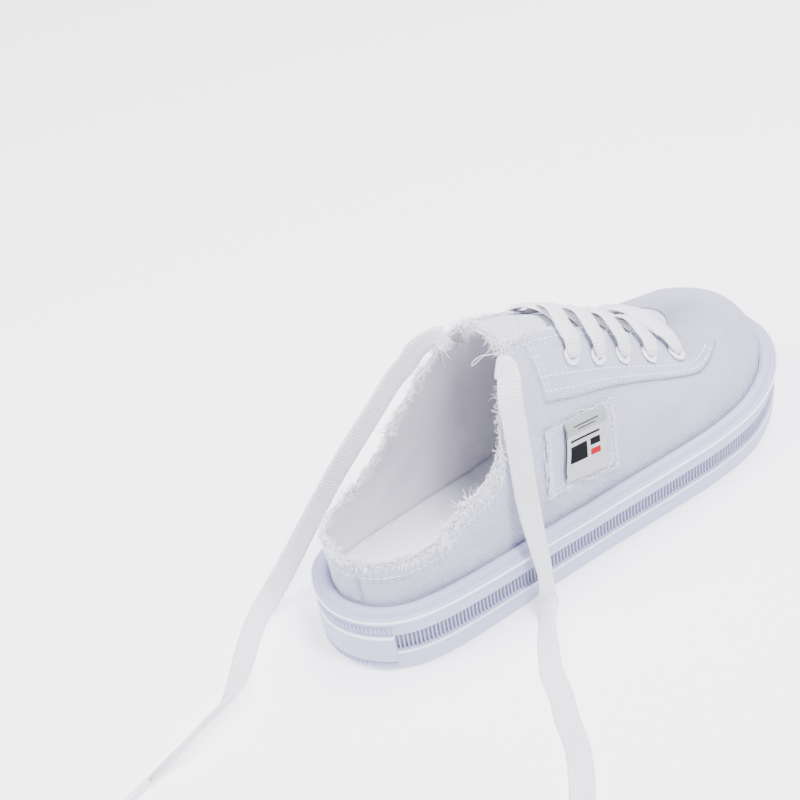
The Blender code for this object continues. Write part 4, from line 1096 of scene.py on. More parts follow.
def crease_depth(points):
    """How far each point is pressed inwards by the listed creases."""
    flat = points.reshape(-1, 3)
    depth = np.zeros(len(flat))
    for start, end, width, deep in CREASES:
        start = np.array(start)
        span = np.array(end) - start
        part = np.clip((flat - start) @ span / (span @ span), 0, 1)
        distance = np.linalg.norm(flat - start - part[:, None] * span, axis=1)
        fade = 0.25 + 0.75 * np.sin(np.pi * np.clip(part, 0.02, 0.98))
        depth += deep * fade * np.exp(-(distance / width) ** 2)
        depth -= 0.45 * deep * fade * np.exp(-((distance - 1.9 * width) / (1.1 * width)) ** 2)
    seam = flat[:, 0] - HEEL_SEAM_PLACE - HEEL_SEAM_LEAN * (0.050 - flat[:, 2])
    depth += HEEL_SEAM_DEPTH * np.exp(-(seam / 0.0007) ** 2) * (flat[:, 1] < -0.10)
    depth -= 0.0004 * np.exp(-((np.abs(seam) - 0.0018) / 0.0009) ** 2) * (flat[:, 1] < -0.10)
    for _, place, _ in EYELET_PLACES:
        distance = np.linalg.norm(flat - place, axis=1)
        depth += 0.0006 * np.exp(-((distance - 1.12 * EYELET_FLANGE_RADIUS) / 0.0009) ** 2)
    return depth.reshape(points.shape[:-1])


def soft_waves(points):
    """Slack of unstiffened cloth: broad low waves over the whole upper."""
    x, y, z = points[..., 0], points[..., 1], points[..., 2]
    wave = np.sin(y / 0.0105 + 2.0 * np.sin(z / 0.013) + x / 0.019)
    wave += 0.6 * np.sin(y / 0.0061 - z / 0.0083 + 1.3)
    wave += 0.5 * np.sin(x / 0.0074 + z / 0.0097 + y / 0.016)
    return 0.00016 * wave


LOW_ROWS = 30
HIGH_ROWS = 22


def make_upper():
    sides = []
    for side in (0, 1):
        marks = [0.0, PLAN.fraction_at(side, 0.24), PLAN.fraction_at(side, 0.44), 1.0]
        fractions = [0.0]
        for start, end, count in zip(marks, marks[1:], (60, 90, 150)):
            fractions += list(np.linspace(start, end, count + 1)[1:])
        if side == 0:
            fractions = sorted(set(fractions) | set(np.linspace(0.001, 0.055, 34)))
        sides.append(fractions)
    ring = [(0, fraction) for fraction in sides[0]] + [(1, fraction) for fraction in sides[1][1:-1][::-1]]
    grid = []
    shares = []
    for side, fraction in ring:
        column = LAST.column(side, fraction)
        share = length_share(column[0][1])
        top = edge_angle(side, column)
        seam = min(seam_angle(column), top * 0.75)
        blend = np.clip((share - 0.30) / 0.10, 0, 1)
        seam = seam * blend + 0.55 * top * (1 - blend)
        angles = [seam * (index / LOW_ROWS) ** 1.25 for index in range(LOW_ROWS + 1)]
        angles += [seam + 0.005 + (top - seam - 0.005) * index / HIGH_ROWS
                   for index in range(HIGH_ROWS + 1)]
        hem = np.array([column[0][0], column[0][1], column[2] - CUP_DEPTH + 0.001])
        grid.append([hem] + [LAST.on_column(column, angle) for angle in angles])
        shares.append(share)
    grid = np.array(grid)
    shares = np.array(shares)
    outward = grid_ways(grid, True)
    run = run_up(grid)
    below_rim = run[:, -1:] - run
    hem_height = grid[:, :, 2] - grid[:, 1:2, 2]
    lift = np.zeros(grid.shape[:2])
    eyestay = EYESTAY_STEP * np.clip((0.83 - shares) / 0.06, 0, 1)
    eyestay *= np.clip((shares - EYESTAY_REAR) / 0.003, 0, 1)
    lift[:, LOW_ROWS + 2:] += eyestay[:, None]
    at_collar = np.clip((0.30 - shares) / 0.02, 0, 1)
    lift[:, LOW_ROWS + 1] -= 0.9 * eyestay
    lift += HEEL_BAND_STEP * at_collar[:, None] * np.clip((HEEL_BAND - below_rim) / 0.0006, 0, 1)
    lift -= HEEL_BAND_GROOVE * at_collar[:, None] * np.exp(-((below_rim - HEEL_BAND - 0.0008) / 0.0007) ** 2)
    free = np.clip(hem_height / 0.010, 0, 1)
    rim_free = np.clip(below_rim / 0.004, 0, 1)
    sag = (crease_depth(grid) - soft_waves(grid)) * free
    round_run = run_along(grid[:, 1])
    pucker = EDGE_PUCKER * np.sin(round_run / 0.00115 + 1.4 * np.sin(round_run / 0.0071))
    near_hem = np.exp(-((hem_height - 0.0042) / 0.0034) ** 2)
    seam_gap = np.abs(run - run[:, LOW_ROWS + 1:LOW_ROWS + 2])
    near_seam = np.exp(-(seam_gap / 0.0032) ** 2) * (eyestay > 0.0003)[:, None]
    frill = COLLAR_FRILL * np.sin(round_run / 0.0021 + 1.1 * np.sin(round_run / 0.0083)) * at_collar
    near_rim = np.exp(-(below_rim / 0.0030) ** 2)
    outer = grid + outward * (lift - sag + pucker[:, None] * (near_hem + 0.9 * near_seam)
                              + frill[:, None] * near_rim)[:, :, None]
    inner = grid - outward * (WALL * (0.55 + 0.45 * rim_free) + sag * 0.8
                              - frill[:, None] * near_rim)[:, :, None]
    lip = (outer[:, -1] + inner[:, -1]) / 2 + (outer[:, -1] - outer[:, -2]) * 0.25
    loops = np.concatenate([outer, lip[:, None], inner[:, ::-1]], axis=1)
    rows = outer.shape[1]
    loop_run = run_up(np.concatenate([loops, loops[:, :1]], axis=1))
    around = np.append(round_run, round_run[-1] + np.linalg.norm(grid[-1, 1] - grid[0, 1]))
    mesh = ring_mesh("upper_canvas", loops, around, loop_run, lambda row: 0 if row <= rows else 1)
    upper = add_piece("upper_canvas", mesh, CANVAS, LINING)
    pierce(upper)
    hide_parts("upper")
    return upper, grid, outward, outer


def turned_to(outward):
    return Vector((0, 0, 1)).rotation_difference(Vector(outward)).to_matrix().to_4x4()


def pierce(upper):
    """Eyelet holes through the eyestay."""
    drills = bmesh.new()
    for _, point, outward in EYELET_PLACES:
        drill = bmesh.ops.create_cone(drills, cap_ends=True, segments=24, radius1=EYELET_HOLE_RADIUS,
                                      radius2=EYELET_HOLE_RADIUS, depth=5 * WALL)["verts"]
        bmesh.ops.transform(drills, matrix=turned_to(outward), verts=drill)
        bmesh.ops.translate(drills, verts=drill, vec=point)
    cut_with(upper, drills, "eyelet drills")


UPPER, UPPER_GRID, UPPER_WAYS, UPPER_OUTER = make_upper()


class Skin:
    """Nearest place and outward way on a finished piece."""

    def __init__(self, piece):
        self.tree = BVHTree.FromPolygons([vertex.co for vertex in piece.data.vertices],
                                         [tuple(face.vertices) for face in piece.data.polygons])

    def at(self, point):
        place, way, _, _ = self.tree.find_nearest(Vector(point))
        return np.array(place), np.array(way)


SKIN = Skin(UPPER)


# Tongue and insole

def sheet_piece(name, top, bottom, finish):
    """Closed soft sheet between two grids of points, with cloth coordinates in metres."""
    rows, across = top.shape[:2]
    vertices = list(top.reshape(-1, 3)) + list(bottom.reshape(-1, 3))
    under = rows * across
    u = run_along(top[rows // 2])
    v = run_along(top[:, across // 2])
    faces = []
    uvs = []
    for row in range(rows - 1):
        for place in range(across - 1):
            a = row * across + place
            quad = (a, a + 1, a + 1 + across, a + across)
            corners = [(u[place], v[row]), (u[place + 1], v[row]),
                       (u[place + 1], v[row + 1]), (u[place], v[row + 1])]
            faces.append(quad)
            uvs += corners
            faces.append(tuple(under + index for index in reversed(quad)))
            uvs += corners[::-1]
    rim = list(range(across - 1)) + [row * across + across - 1 for row in range(rows - 1)]
    rim += [(rows - 1) * across + place for place in range(across - 1, 0, -1)]
    rim += [row * across for row in range(rows - 1, 0, -1)]
    for index, here in enumerate(rim):
        there = rim[(index + 1) % len(rim)]
        faces.append((there, here, under + here, under + there))
        uvs += [(0.0, 0.0), (0.001, 0.0), (0.001, 0.002), (0.0, 0.002)]
    mesh = mesh_from(name, vertices, faces, uvs)
    face_outwards(mesh)
    return add_piece(name, mesh, finish)


def tongue_grid(rows, across):
    lines = []
    for share in np.linspace(TONGUE_TOP, TONGUE_ROOT, rows):
        y = (share - 0.5) * LENGTH
        centre = spine_point(share)[0]
        reach = lookup(THROAT, share) + TONGUE_TUCK
        reach *= 1 - 0.25 * np.clip((share - 0.70) / (TONGUE_ROOT - 0.70), 0, 1) ** 2
        lines.append([(centre + part * reach, y, LAST.height(centre + part * reach, y))
                      for part in np.linspace(-1, 1, across)])
    grid = np.array(lines)
    across_way = np.gradient(grid, axis=1)
    along_way = np.gradient(grid, axis=0)
    way = np.cross(across_way, along_way)
    way /= np.linalg.norm(way, axis=2)[:, :, None]
    return grid - way * (WALL + 1.5 * CLEARANCE), way


def make_tongue():
    grid, way = tongue_grid(70, 36)
    swell = 0.00035 * np.sin(grid[:, :, 1] / 0.0075 + grid[:, :, 0] / 0.011) - 0.0003
    swell += 0.0012 * np.clip((length_share(grid[:, :, 1]) - 0.66) / 0.05, 0, 1)
    part = np.linspace(-1, 1, 36)[None, :]
    front = np.clip((0.72 - length_share(grid[:, :, 1])) / 0.06, 0, 1)
    swell += 0.0009 * (1 - part ** 2) * front
    thin = TONGUE_THICKNESS * np.sqrt(np.clip(1 - 0.85 * part ** 8, 0.1, 1))
    top = grid + way * (swell - (TONGUE_THICKNESS - thin) / 2)[:, :, None]
    bottom = grid - way * (TONGUE_THICKNESS / 2 + thin / 2)[:, :, None]
    tongue = sheet_piece("tongue_cloth", top, bottom, TONGUE_CLOTH)
    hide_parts("tongue")
    return grid, way


TONGUE_GRID, TONGUE_WAYS = make_tongue()


def make_insole():
    inset = BEAD_INSET + CLEARANCE + WALL - 0.0004
    stations = 120
    across = 26
    top = []
    bottom = []
    for station in range(stations + 1):
        fraction = 0.012 + 0.976 * station / stations
        ends = [point - outward * inset for point, outward in (PLAN.at(side, fraction) for side in (1, 0))]
        top_row = []
        bottom_row = []
        for part in np.linspace(0, 1, across):
            spot = ends[0] * (1 - part) + ends[1] * part
            base = rim_height(length_share(spot[1])) - CUP_DEPTH + CLEARANCE
            edge = abs(2 * part - 1)
            dent = 0.0005 * math.exp(-((spot[1] + 0.085) / 0.03) ** 2 - (spot[0] / 0.018) ** 2)
            top_row.append((spot[0], spot[1], base + INSOLE_THICKNESS - 0.0012 + 0.0012 * edge ** 2 - dent))
            bottom_row.append((spot[0], spot[1], base))
        top.append(top_row)
        bottom.append(bottom_row)
    insole = sheet_piece("insole_board", np.array(top), np.array(bottom), INSOLE_CLOTH)
    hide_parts("insole")


make_insole()


# Eyelets

def make_eyelet_shape():
    """Pressed grommet: a torus flattened to a domed flange, with a barrel pulled down from its bore."""
    leave_all()
    tube = (EYELET_FLANGE_RADIUS - EYELET_HOLE_RADIUS + 0.0006) / 2
    bpy.ops.mesh.primitive_torus_add(major_radius=EYELET_FLANGE_RADIUS - tube, minor_radius=tube,
                                     major_segments=36, minor_segments=14)
    ring = bpy.context.object
    bpy.ops.object.mode_set(mode="EDIT")
    bpy.ops.mesh.select_all(action="SELECT")
    bpy.ops.transform.resize(value=(1, 1, 0.52))
    bpy.ops.mesh.select_all(action="DESELECT")
    body = bmesh.from_edit_mesh(ring.data)
    for vertex in body.verts:
        if vertex.co.z < 0:
            vertex.co.z *= 0.25
        if math.hypot(vertex.co.x, vertex.co.y) < EYELET_HOLE_RADIUS - 0.0004 and vertex.co.z <= 0.0:
            vertex.co.z -= 0.0016
    bmesh.update_edit_mesh(ring.data)
    bpy.ops.object.mode_set(mode="OBJECT")
    bpy.ops.object.shade_smooth()
    mesh = ring.data
    bpy.data.objects.remove(ring, do_unlink=True)
    return mesh


def make_eyelets():
    shape = make_eyelet_shape()
    for index, (name, point, outward) in enumerate(EYELET_PLACES):
        number = index // 2 + 1
        mesh = shape.copy()
        seat = Vector(point) + Vector(outward) * (CLEARANCE * 0.4)
        mesh.transform(Matrix.Translation(seat) @ turned_to(outward))
        eyelet = add_piece(f"{name}_eyelet_{number}", mesh, ENAMEL)
        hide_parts(f"eyelet_{name}_{number}")


make_eyelets()


# Laces over the throat

def strand(start_index, end, heights, seed, both=False):
    """One run of lace: out of an eyelet, over its flange, across the throat and under the far edge."""
    _, point, outward = EYELET_PLACES[start_index]
    away = unit(np.array([end[0] - point[0], end[1] - point[1], 0.0]))
    stations = [(point - outward * 0.0034, 0.0016), (point + outward * 0.0002, 0.0021),
                (point + outward * 0.0019 + away * 0.0009, 0.0034)]
    for part in np.linspace(0.14, 1.0 if not both else 0.86, 12):
        x = point[0] * (1 - part) + end[0] * part
        y = point[1] * (1 - part) + end[1] * part
        lift = np.interp(part, (0.14, 0.30, 0.5, 0.7, 1.0), heights)
        half = np.interp(part, (0.14, 0.22), (0.0043, 0.53 * LACE_WIDTH))
        if both:
            half = min(half, np.interp(part, (0.78, 0.86), (0.53 * LACE_WIDTH, 0.0043)))
        stations.append((np.array([x, y, LAST.height(x, y)]) + LAST.normal(x, y) * lift, half))
    if both:
        _, far, far_out = EYELET_PLACES[start_index + 1]
        back = -away
        stations += [(far + far_out * 0.0019 + back * 0.0009, 0.0034), (far + far_out * 0.0002, 0.0021),
                     (far - far_out * 0.0034, 0.0016)]
    plan = np.array([-away[1], away[0], 0.0])
    rows = smooth_route([(*centre, half) for centre, half in stations], 0.0012)
    ways = []
    for row in rows:
        normal = LAST.normal(row[0], row[1], 0.004)
        ways.append(unit(plan - normal * np.dot(plan, normal)))
    half_widths = np.clip(rows[:, 3], 0.0014, 0.53 * LACE_WIDTH)
    return band_mesh("strand", rows[:, :3], ways, half_widths, thickness=STRAND_THICKNESS,
                     ripple=0.00032, seed=seed, dome=0.0007)


def joined(name, meshes, finish):
    body = bmesh.new()
    for mesh in meshes:
        body.from_mesh(mesh)
    mesh = bpy.data.meshes.new(name)
    body.to_mesh(mesh)
    body.free()
    return add_piece(name, mesh, finish)


def make_lacing():
    for index in range(len(EYELETS) - 1):
        outer = EYELET_PLACES[2 * index][1]
        inner = EYELET_PLACES[2 * index + 1][1]
        next_y = EYELET_PLACES[2 * index + 2][1][1] - STRAND_TUCK
        centre = (outer[0] + inner[0]) / 2
        slack = FIRST_SLACK if index == 0 else 1.0
        over_heights = np.multiply(OVER_HEIGHTS, (1, slack, slack, slack, 1))
        under_heights = np.multiply(UNDER_HEIGHTS, (slack, slack ** 2, slack ** 2, 1, 1))
        over = strand(2 * index, (centre - STRAND_SPREAD, next_y), over_heights, 11 + index)
        under = strand(2 * index + 1, (centre + STRAND_SPREAD, next_y), under_heights, 31 + index)
        crossing = joined(f"laced_crossing_{index + 1}", [over, under], LACE_CLOTH)
        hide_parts(f"lace_crossing_{index + 1}")
    far = EYELET_PLACES[-1][1]
    bar = strand(len(EYELET_PLACES) - 2, (far[0], far[1]), BAR_HEIGHTS, 51, both=True)
    front = joined("laced_bar", [bar], LACE_CLOTH)
    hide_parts("lace_bar")


make_lacing()


# Patch, label and stitches

def side_grid(centre, size, tilt, lift, rows, across, curl=0.0, fold=0.0):
    lines = []
    for v in np.linspace(0.5, -0.5, rows):
        row = []
        for u in np.linspace(-0.5, 0.5, across):
            along = u * size[0] * math.cos(tilt) - v * size[1] * math.sin(tilt)
            up = u * size[0] * math.sin(tilt) + v * size[1] * math.cos(tilt)
            place, way = SKIN.at(LAST.side_point((centre[0] - 0.5) * LENGTH + along, centre[1] + up))
            stand = lift + curl * max(0.0, 2 * abs(u) - 0.72) ** 2 + curl * max(0.0, -2 * v - 0.6) ** 2
            stand += fold * math.sin(math.pi * min(max((v - 0.24) / 0.26, 0.0), 1.0)) ** 0.7
            row.append(place + way * stand)
        lines.append(row)
    grid = np.array(lines)
    way = np.cross(np.gradient(grid, axis=0), np.gradient(grid, axis=1))
    way /= np.linalg.norm(way, axis=2)[:, :, None]
    if way[rows // 2, across // 2, 0] < 0:
        way = -way
    return grid, way


def make_patch():
    grid, way = side_grid(PATCH_CENTRE, PATCH_SIZE, PATCH_TILT, 0.0003, 30, 36)
    face = grid + way * PATCH_THICKNESS
    patch = sheet_piece("side_patch_cloth", face, grid, CANVAS)
    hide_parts("side_patch")
    return face, way


PATCH_GRID, PATCH_WAYS = make_patch()


def label_finish():
    """Pale woven label with a grey folded top, plain dark blocks and one red block."""
    finish, tree, shader = new_finish("woven label", 0.8)
    shader.inputs["Specular IOR Level"].default_value = 0.1
    cloth = coordinates(tree, "UV")
    split = tree.nodes.new("ShaderNodeSeparateXYZ")
    tree.links.new(cloth, split.inputs[0])
    u, v = split.outputs["X"], split.outputs["Y"]

    def block(u_low, u_high, v_low, v_high):
        parts = [math_node(tree, "GREATER_THAN", u, u_low), math_node(tree, "LESS_THAN", u, u_high),
                 math_node(tree, "GREATER_THAN", v, v_low), math_node(tree, "LESS_THAN", v, v_high)]
        mask = parts[0]
        for part in parts[1:]:
            mask = math_node(tree, "MULTIPLY", mask, part)
        return mask

    colour = marks_with_low_shade(tree, coordinates(tree, "Object"), (0.66, 0.66, 0.67), (0.44, 0.44, 0.44), 0.8)
    blocks = (
        (block(0.0, 0.0220, 0.0, 0.0068), (0.36, 0.37, 0.36, 1)),
        (block(0.0040, 0.0180, 0.0030, 0.0036), (0.05, 0.05, 0.05, 1)),
        (block(0.0060, 0.0160, 0.0045, 0.0051), (0.05, 0.05, 0.05, 1)),
        (block(0.0028, 0.0118, 0.0128, 0.0205), (0.006, 0.006, 0.007, 1)),
        (block(0.0136, 0.0190, 0.0128, 0.0160), (0.006, 0.006, 0.007, 1)),
        (block(0.0136, 0.0190, 0.0176, 0.0205), (0.42, 0.006, 0.012, 1)),
        (block(0.0028, 0.0190, 0.0100, 0.0110), (0.02, 0.02, 0.02, 1)),
        (block(0.0, 0.0008, 0.0068, 0.0272), (0.03, 0.035, 0.07, 1)),
    )
    for mask, shade in blocks:
        colour = mixed(tree, mask, colour, shade)
    twill = place_group(tree, TWILL, cloth, Pitch=0.0005, Slub=0.0001)
    # Painted shade: the label's colour darkens between its threads.
    gap = math_node(tree, "MULTIPLY", twill.outputs["Gap"], 0.3)
    tree.links.new(mixed(tree, gap, colour, (0.6, 0.6, 0.6, 1), "MULTIPLY"), shader.inputs["Base Color"])
    bump(tree, shader, twill.outputs["Height"], 0.0001, 0.8)
    return finish


def make_label():
    grid, way = side_grid(LABEL_CENTRE, LABEL_SIZE, LABEL_TILT, 0.0014, 44, 26, curl=0.0014, fold=0.0015)
    face = grid + way * LABEL_THICKNESS
    label = sheet_piece("woven_label_cloth", face, grid, label_finish())
    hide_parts("woven_label")
    return face, way


LABEL_GRID, LABEL_WAYS = make_label()


def stitch_shape():
    """A small sphere that each stitch stretches along its thread and flattens."""
    leave_all()
    bpy.ops.mesh.primitive_uv_sphere_add(segments=8, ring_count=6, radius=0.5)
    bead = bpy.context.object
    vertices = np.array([vertex.co[:] for vertex in bead.data.vertices])
    faces = [tuple(face.vertices) for face in bead.data.polygons]
    bpy.data.objects.remove(bead, do_unlink=True)
    return vertices, faces


STITCH = stitch_shape()


def stitch_row(line, ways, length=STITCH_LENGTH, gap=STITCH_GAP, width=THREAD_WIDTH):
    """Vertices and faces of a row of stitches laid on a line over a surface."""
    line = np.asarray(line)
    ways = np.asarray(ways)
    run = run_along(line)
    pitch = length + gap
    vertices = []
    faces = []
    shape, shape_faces = STITCH
    for index in range(int(run[-1] / pitch)):
        middle = (index + 0.5) * pitch
        ends = [np.array([np.interp(middle + shift, run, line[:, axis]) for axis in range(3)])
                for shift in (-length / 2, length / 2)]
        way = unit([np.interp(middle, run, ways[:, axis]) for axis in range(3)])
        along = unit(ends[1] - ends[0])
        across = unit(np.cross(way, along))
        centre = (ends[0] + ends[1]) / 2 + way * width * 0.12
        span = np.linalg.norm(ends[1] - ends[0])
        base = len(vertices)
        for vertex in shape:
            vertices.append(centre + along * vertex[0] * span + across * vertex[1] * width
                            + way * vertex[2] * width * 0.8)
        faces += [tuple(base + corner for corner in face) for face in shape_faces]
    return vertices, faces


def sew(name, rows, finish):
    vertices = []
    faces = []
    for row_vertices, row_faces in rows:
        base = len(vertices)
        vertices += row_vertices
        faces += [tuple(base + corner for corner in face) for face in row_faces]
    piece = add_piece(name, mesh_from(name, vertices, faces), finish)
    return piece


def on_skin(points):
    places = [SKIN.at(point) for point in points]
    return np.array([place for place, _ in places]), np.array([way for _, way in places])


def seam_line(side, inset, start=0.398, end=0.80):
    """Places along the eyestay's lower edge, a given distance above it."""
    points = []
    for share in np.linspace(start, end, 60):
        y = (share - 0.5) * LENGTH
        spine = spine_point(share)
        distance = lookup(EYESTAY_EDGE, share) - inset
        if share > VAMP_FAN:
            column = None
            for fraction in np.linspace(PLAN.fraction_at(side, 0.70), 0.97, 160):
                candidate = LAST.column(side, fraction)
                if length_share(candidate[0][1]) >= share:
                    column = candidate
                    break
            if column is None:
                break
            angle = math.acos(min(distance / np.linalg.norm(column[0] - column[1]), 0.93) ** (FULLNESS / 2))
            points.append(LAST.on_column(column, angle))
            continue
        x = spine[0] + (1 if side == 0 else -1) * distance
        points.append((x, y, LAST.height(x, y)))
    return points


def throat_line(side, inset):
    points = []
    for share in np.linspace(0.375, 0.715, 50):
        x = spine_point(share)[0] + (1 if side == 0 else -1) * (lookup(THROAT, share) + inset)
        y = (share - 0.5) * LENGTH
        points.append((x, y, LAST.height(x, y)))
    return points


def make_seams():
    rows = []
    for side in (0, 1):
        for inset in (0.0013, 0.0034):
            line, ways = on_skin(seam_line(side, inset))
            rows.append(stitch_row(line, ways))
        line, ways = on_skin(throat_line(side, 0.0022))
        rows.append(stitch_row(line, ways))
        for share in (EYESTAY_REAR + 0.007, EYESTAY_REAR + 0.016):
            y = (share - 0.5) * LENGTH
            spine = spine_point(share)[0]
            sign = 1 if side == 0 else -1
            low = lookup(EYESTAY_EDGE, share) - 0.0008
            high = lookup(THROAT, share) + 0.002
            line, ways = on_skin([(spine + sign * x, y, LAST.height(spine + sign * x, y))
                                  for x in np.linspace(low, high, 30)])
            rows.append(stitch_row(line, ways))
    sew("eyestay_stitches", rows, THREAD)


def columns_behind(share):
    """Columns of the upper behind a share of its length, from the inner side round the heel to the outer."""
    shares = length_share(UPPER_GRID[:, 1, 1])
    half = len(shares) // 2
    chosen = [index for index in range(len(shares)) if shares[index] < share]
    return sorted(chosen, key=lambda index: index - len(shares) if index > half else index)


def make_heel_stitches():
    """Two rows under the raw collar, round the heel and up both sides."""
    run = run_up(UPPER_GRID)
    below = run[:, -1:] - run
    points = []
    for index in columns_behind(0.30):
        points.append([[np.interp(depth, below[index][::-1], UPPER_OUTER[index, ::-1, axis])
                        for axis in range(3)] for depth in (HEEL_BAND + 0.0008, HEEL_BAND - 0.0018)])
    rows = [stitch_row(*on_skin([pair[row] for pair in points]), length=0.0020) for row in (0, 1)]
    sew("collar_stitches", rows, THREAD)


def border_line(grid, ways, margin_rows, margin_columns):
    rows, across = grid.shape[:2]
    r0, r1 = margin_rows, rows - 1 - margin_rows
    c0, c1 = margin_columns, across - 1 - margin_columns
    order = [(r0, c) for c in range(c0, c1)] + [(r, c1) for r in range(r0, r1)]
    order += [(r1, c) for c in range(c1, c0, -1)] + [(r, c0) for r in range(r1, r0, -1)] + [(r0, c0)]
    return np.array([grid[spot] for spot in order]), np.array([ways[spot] for spot in order])


def make_patch_stitches():
    rows = [stitch_row(*border_line(PATCH_GRID, PATCH_WAYS, 2, 2), length=0.0020)]
    sew("patch_stitches", rows, THREAD)
    fold = [stitch_row(LABEL_GRID[12, 1:-1], LABEL_WAYS[12, 1:-1], length=0.0014, gap=0.0006, width=0.0004)]
    sew("label_stitches", fold, THREAD)


make_seams()
make_heel_stitches()
make_patch_stitches()


# Raw edges

class Threads:
    """Thin three-sided threads gathered into one mesh."""

    def __init__(self):
        self.vertices = []
        self.faces = []

    def add(self, path, radius):
        path = np.asarray(path)
        count = len(path)
        along = np.gradient(path, axis=0)
        along /= np.maximum(np.linalg.norm(along, axis=1), 1e-9)[:, None]
        side = np.cross(along, (0.31, 0.87, 0.39))
        side /= np.maximum(np.linalg.norm(side, axis=1), 1e-9)[:, None]
        other = np.cross(along, side)
        taper = radius * (1 - 0.5 * np.linspace(0, 1, count) ** 2)[:, None]
        base = len(self.vertices)
        rings = [path + (side * math.cos(turn) + other * math.sin(turn)) * taper
                 for turn in (0, 2 * math.pi / 3, 4 * math.pi / 3)]
        for index in range(count):
            self.vertices += [ring[index] for ring in rings]
        for index in range(count - 1):
            a = base + 3 * index
            for corner in range(3):
                after = (corner + 1) % 3
                self.faces.append((a + corner, a + after, a + 3 + after, a + 3 + corner))
        end = base + 3 * (count - 1)
        self.faces.append((base + 2, base + 1, base))
        self.faces.append((end, end + 1, end + 2))

    def loose(self, start, heading, length, radius, rng, curl, steps=6, droop=0.07):
        """One thread end that leaves its start, wanders and droops a little."""
        bend = rng.normal(0, curl, 3)
        point = np.array(start, dtype=float)
        path = [point]
        for step in range(steps):
            heading = unit(heading + bend * 0.25 + rng.normal(0, 0.11, 3) - np.array([0, 0, droop]))
            point = point + heading * length / steps
            path.append(point)
        self.add(path, radius)


def frame_along(line, outs, ups, place):
    """Point, outward, up and along ways at a share of a line's length."""
    run = run_along(line)
    spots = np.clip(np.array([place, place + 0.001, place - 0.001]), 0, 1) * run[-1]
    point, ahead, behind = np.stack([np.interp(spots, run, line[:, axis]) for axis in range(3)], axis=1)
    out, up = (unit([np.interp(spots[0], run, table[:, axis]) for axis in range(3)])
               for table in (outs, ups))
    return point, out, up, unit(ahead - behind)


def tuft_at(place, clumps):
    """How much thicker and longer the raw edge is at a place, from its clumps."""
    return max([weight * math.exp(-((place - centre) / spread) ** 2) for centre, spread, weight in clumps]
               + [0])


def uneven(place):
    return math.sin(place * 67.0) * math.sin(place * 29.0 + 1.0)


def cut_yarns(threads, edge, pitch, tall, rng, clumps, falling):
    """Thick cut yarns side by side along a raw edge: most fall over it outwards, the rest stand up."""
    line, outs, ups = edge
    total = float(run_along(line)[-1])
    for index in range(int(total / pitch)):
        place = (index + rng.uniform()) * pitch / total
        point, out, up, along = frame_along(line, outs, ups, place)
        length = tall * rng.uniform(0.35, 1.0) * (0.75 + 0.25 * uneven(place) + 0.45 * tuft_at(place, clumps))
        falls = rng.uniform() < falling
        rise = up * rng.uniform(0.5, 1.0)
        reach = out * (rng.uniform(0.5, 1.1) if falls else rng.normal(0.0, 0.35))
        lean = unit(rise + reach + along * rng.normal(0, 0.45))
        start = point + out * rng.uniform(-0.0003, 0.0010) - up * rng.uniform(0.0004, 0.0022)
        radius = rng.uniform(0.00018, 0.00030)
        threads.loose(start, lean, length, radius, rng, 0.8, 5, 0.42 if falls else 0.05)


def fray(name, edge, locks, tall, rng, clumps=(), yarns=0, node=None, tails=(),
         cut=None):
    """Raw edge: locks of a few threads each, with loose yarns that run along the edge."""
    line, outs, ups = edge
    threads = Threads()
    if cut:
        cut_yarns(threads, edge, *cut[:2], rng, clumps, cut[2])
    total = float(run_along(line)[-1])
    for _ in range(locks):
        place = rng.uniform(0.002, 0.998)
        point, out, up, along = frame_along(line, outs, ups, place)
        swell = 0.6 + 0.4 * uneven(place) + tuft_at(place, clumps)
        length = tall * (0.30 + 0.9 * rng.uniform() ** 2.2) * swell
        lean = unit(up + out * rng.normal(0.15, 0.50) + along * rng.normal(0, 0.55))
        for _ in range(rng.integers(3, 9)):
            start = point + out * rng.uniform(-0.0009, 0.0009) + along * rng.normal(0, 0.0005) - up * 0.0012
            heading = unit(lean + rng.normal(0, 0.16, 3))
            reach = length * rng.uniform(0.55, 1.15) + 0.0012
            threads.loose(start, heading, reach, rng.uniform(0.00011, 0.00020), rng, 0.7)
    for _ in range(yarns):
        place = rng.uniform(0.01, 0.93)
        reach = rng.uniform(0.004, 0.016) / total
        high = rng.uniform(-0.0002, 0.0013)
        waves = rng.uniform(0, 6.3, 2)
        path = []
        for step in range(9):
            part = step / 8
            point, out, up, _ = frame_along(line, outs, ups, min(place + reach * part, 1.0))
            path.append(point + up * (high + 0.0005 * math.sin(7 * part + waves[0])) +
                        out * (0.0009 * math.sin(5 * part + waves[1])))
        threads.add(path, rng.uniform(0.00016, 0.00026))
    for route, radius in tails:
        threads.add(smooth_route(route, 0.0008), radius)
    piece = add_piece(name, mesh_from(name, threads.vertices, threads.faces), FRAY)
    if node:
        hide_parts(node)


def rim_line(share):
    """Top edge of the upper behind a share of its length, with its outward and upward ways."""
    order = columns_behind(share)
    line = np.array([UPPER_OUTER[index, -1] - UPPER_WAYS[index, -1] * WALL / 2 for index in order])
    outs = np.array([UPPER_WAYS[index, -1] for index in order])
    ups = np.array([unit(UPPER_OUTER[index, -1] - UPPER_OUTER[index, -3]) for index in order])
    along = np.gradient(line, axis=0)
    along /= np.linalg.norm(along, axis=1)[:, None]
    ups -= along * np.sum(ups * along, axis=1)[:, None]
    ups /= np.linalg.norm(ups, axis=1)[:, None]
    return line, outs, ups


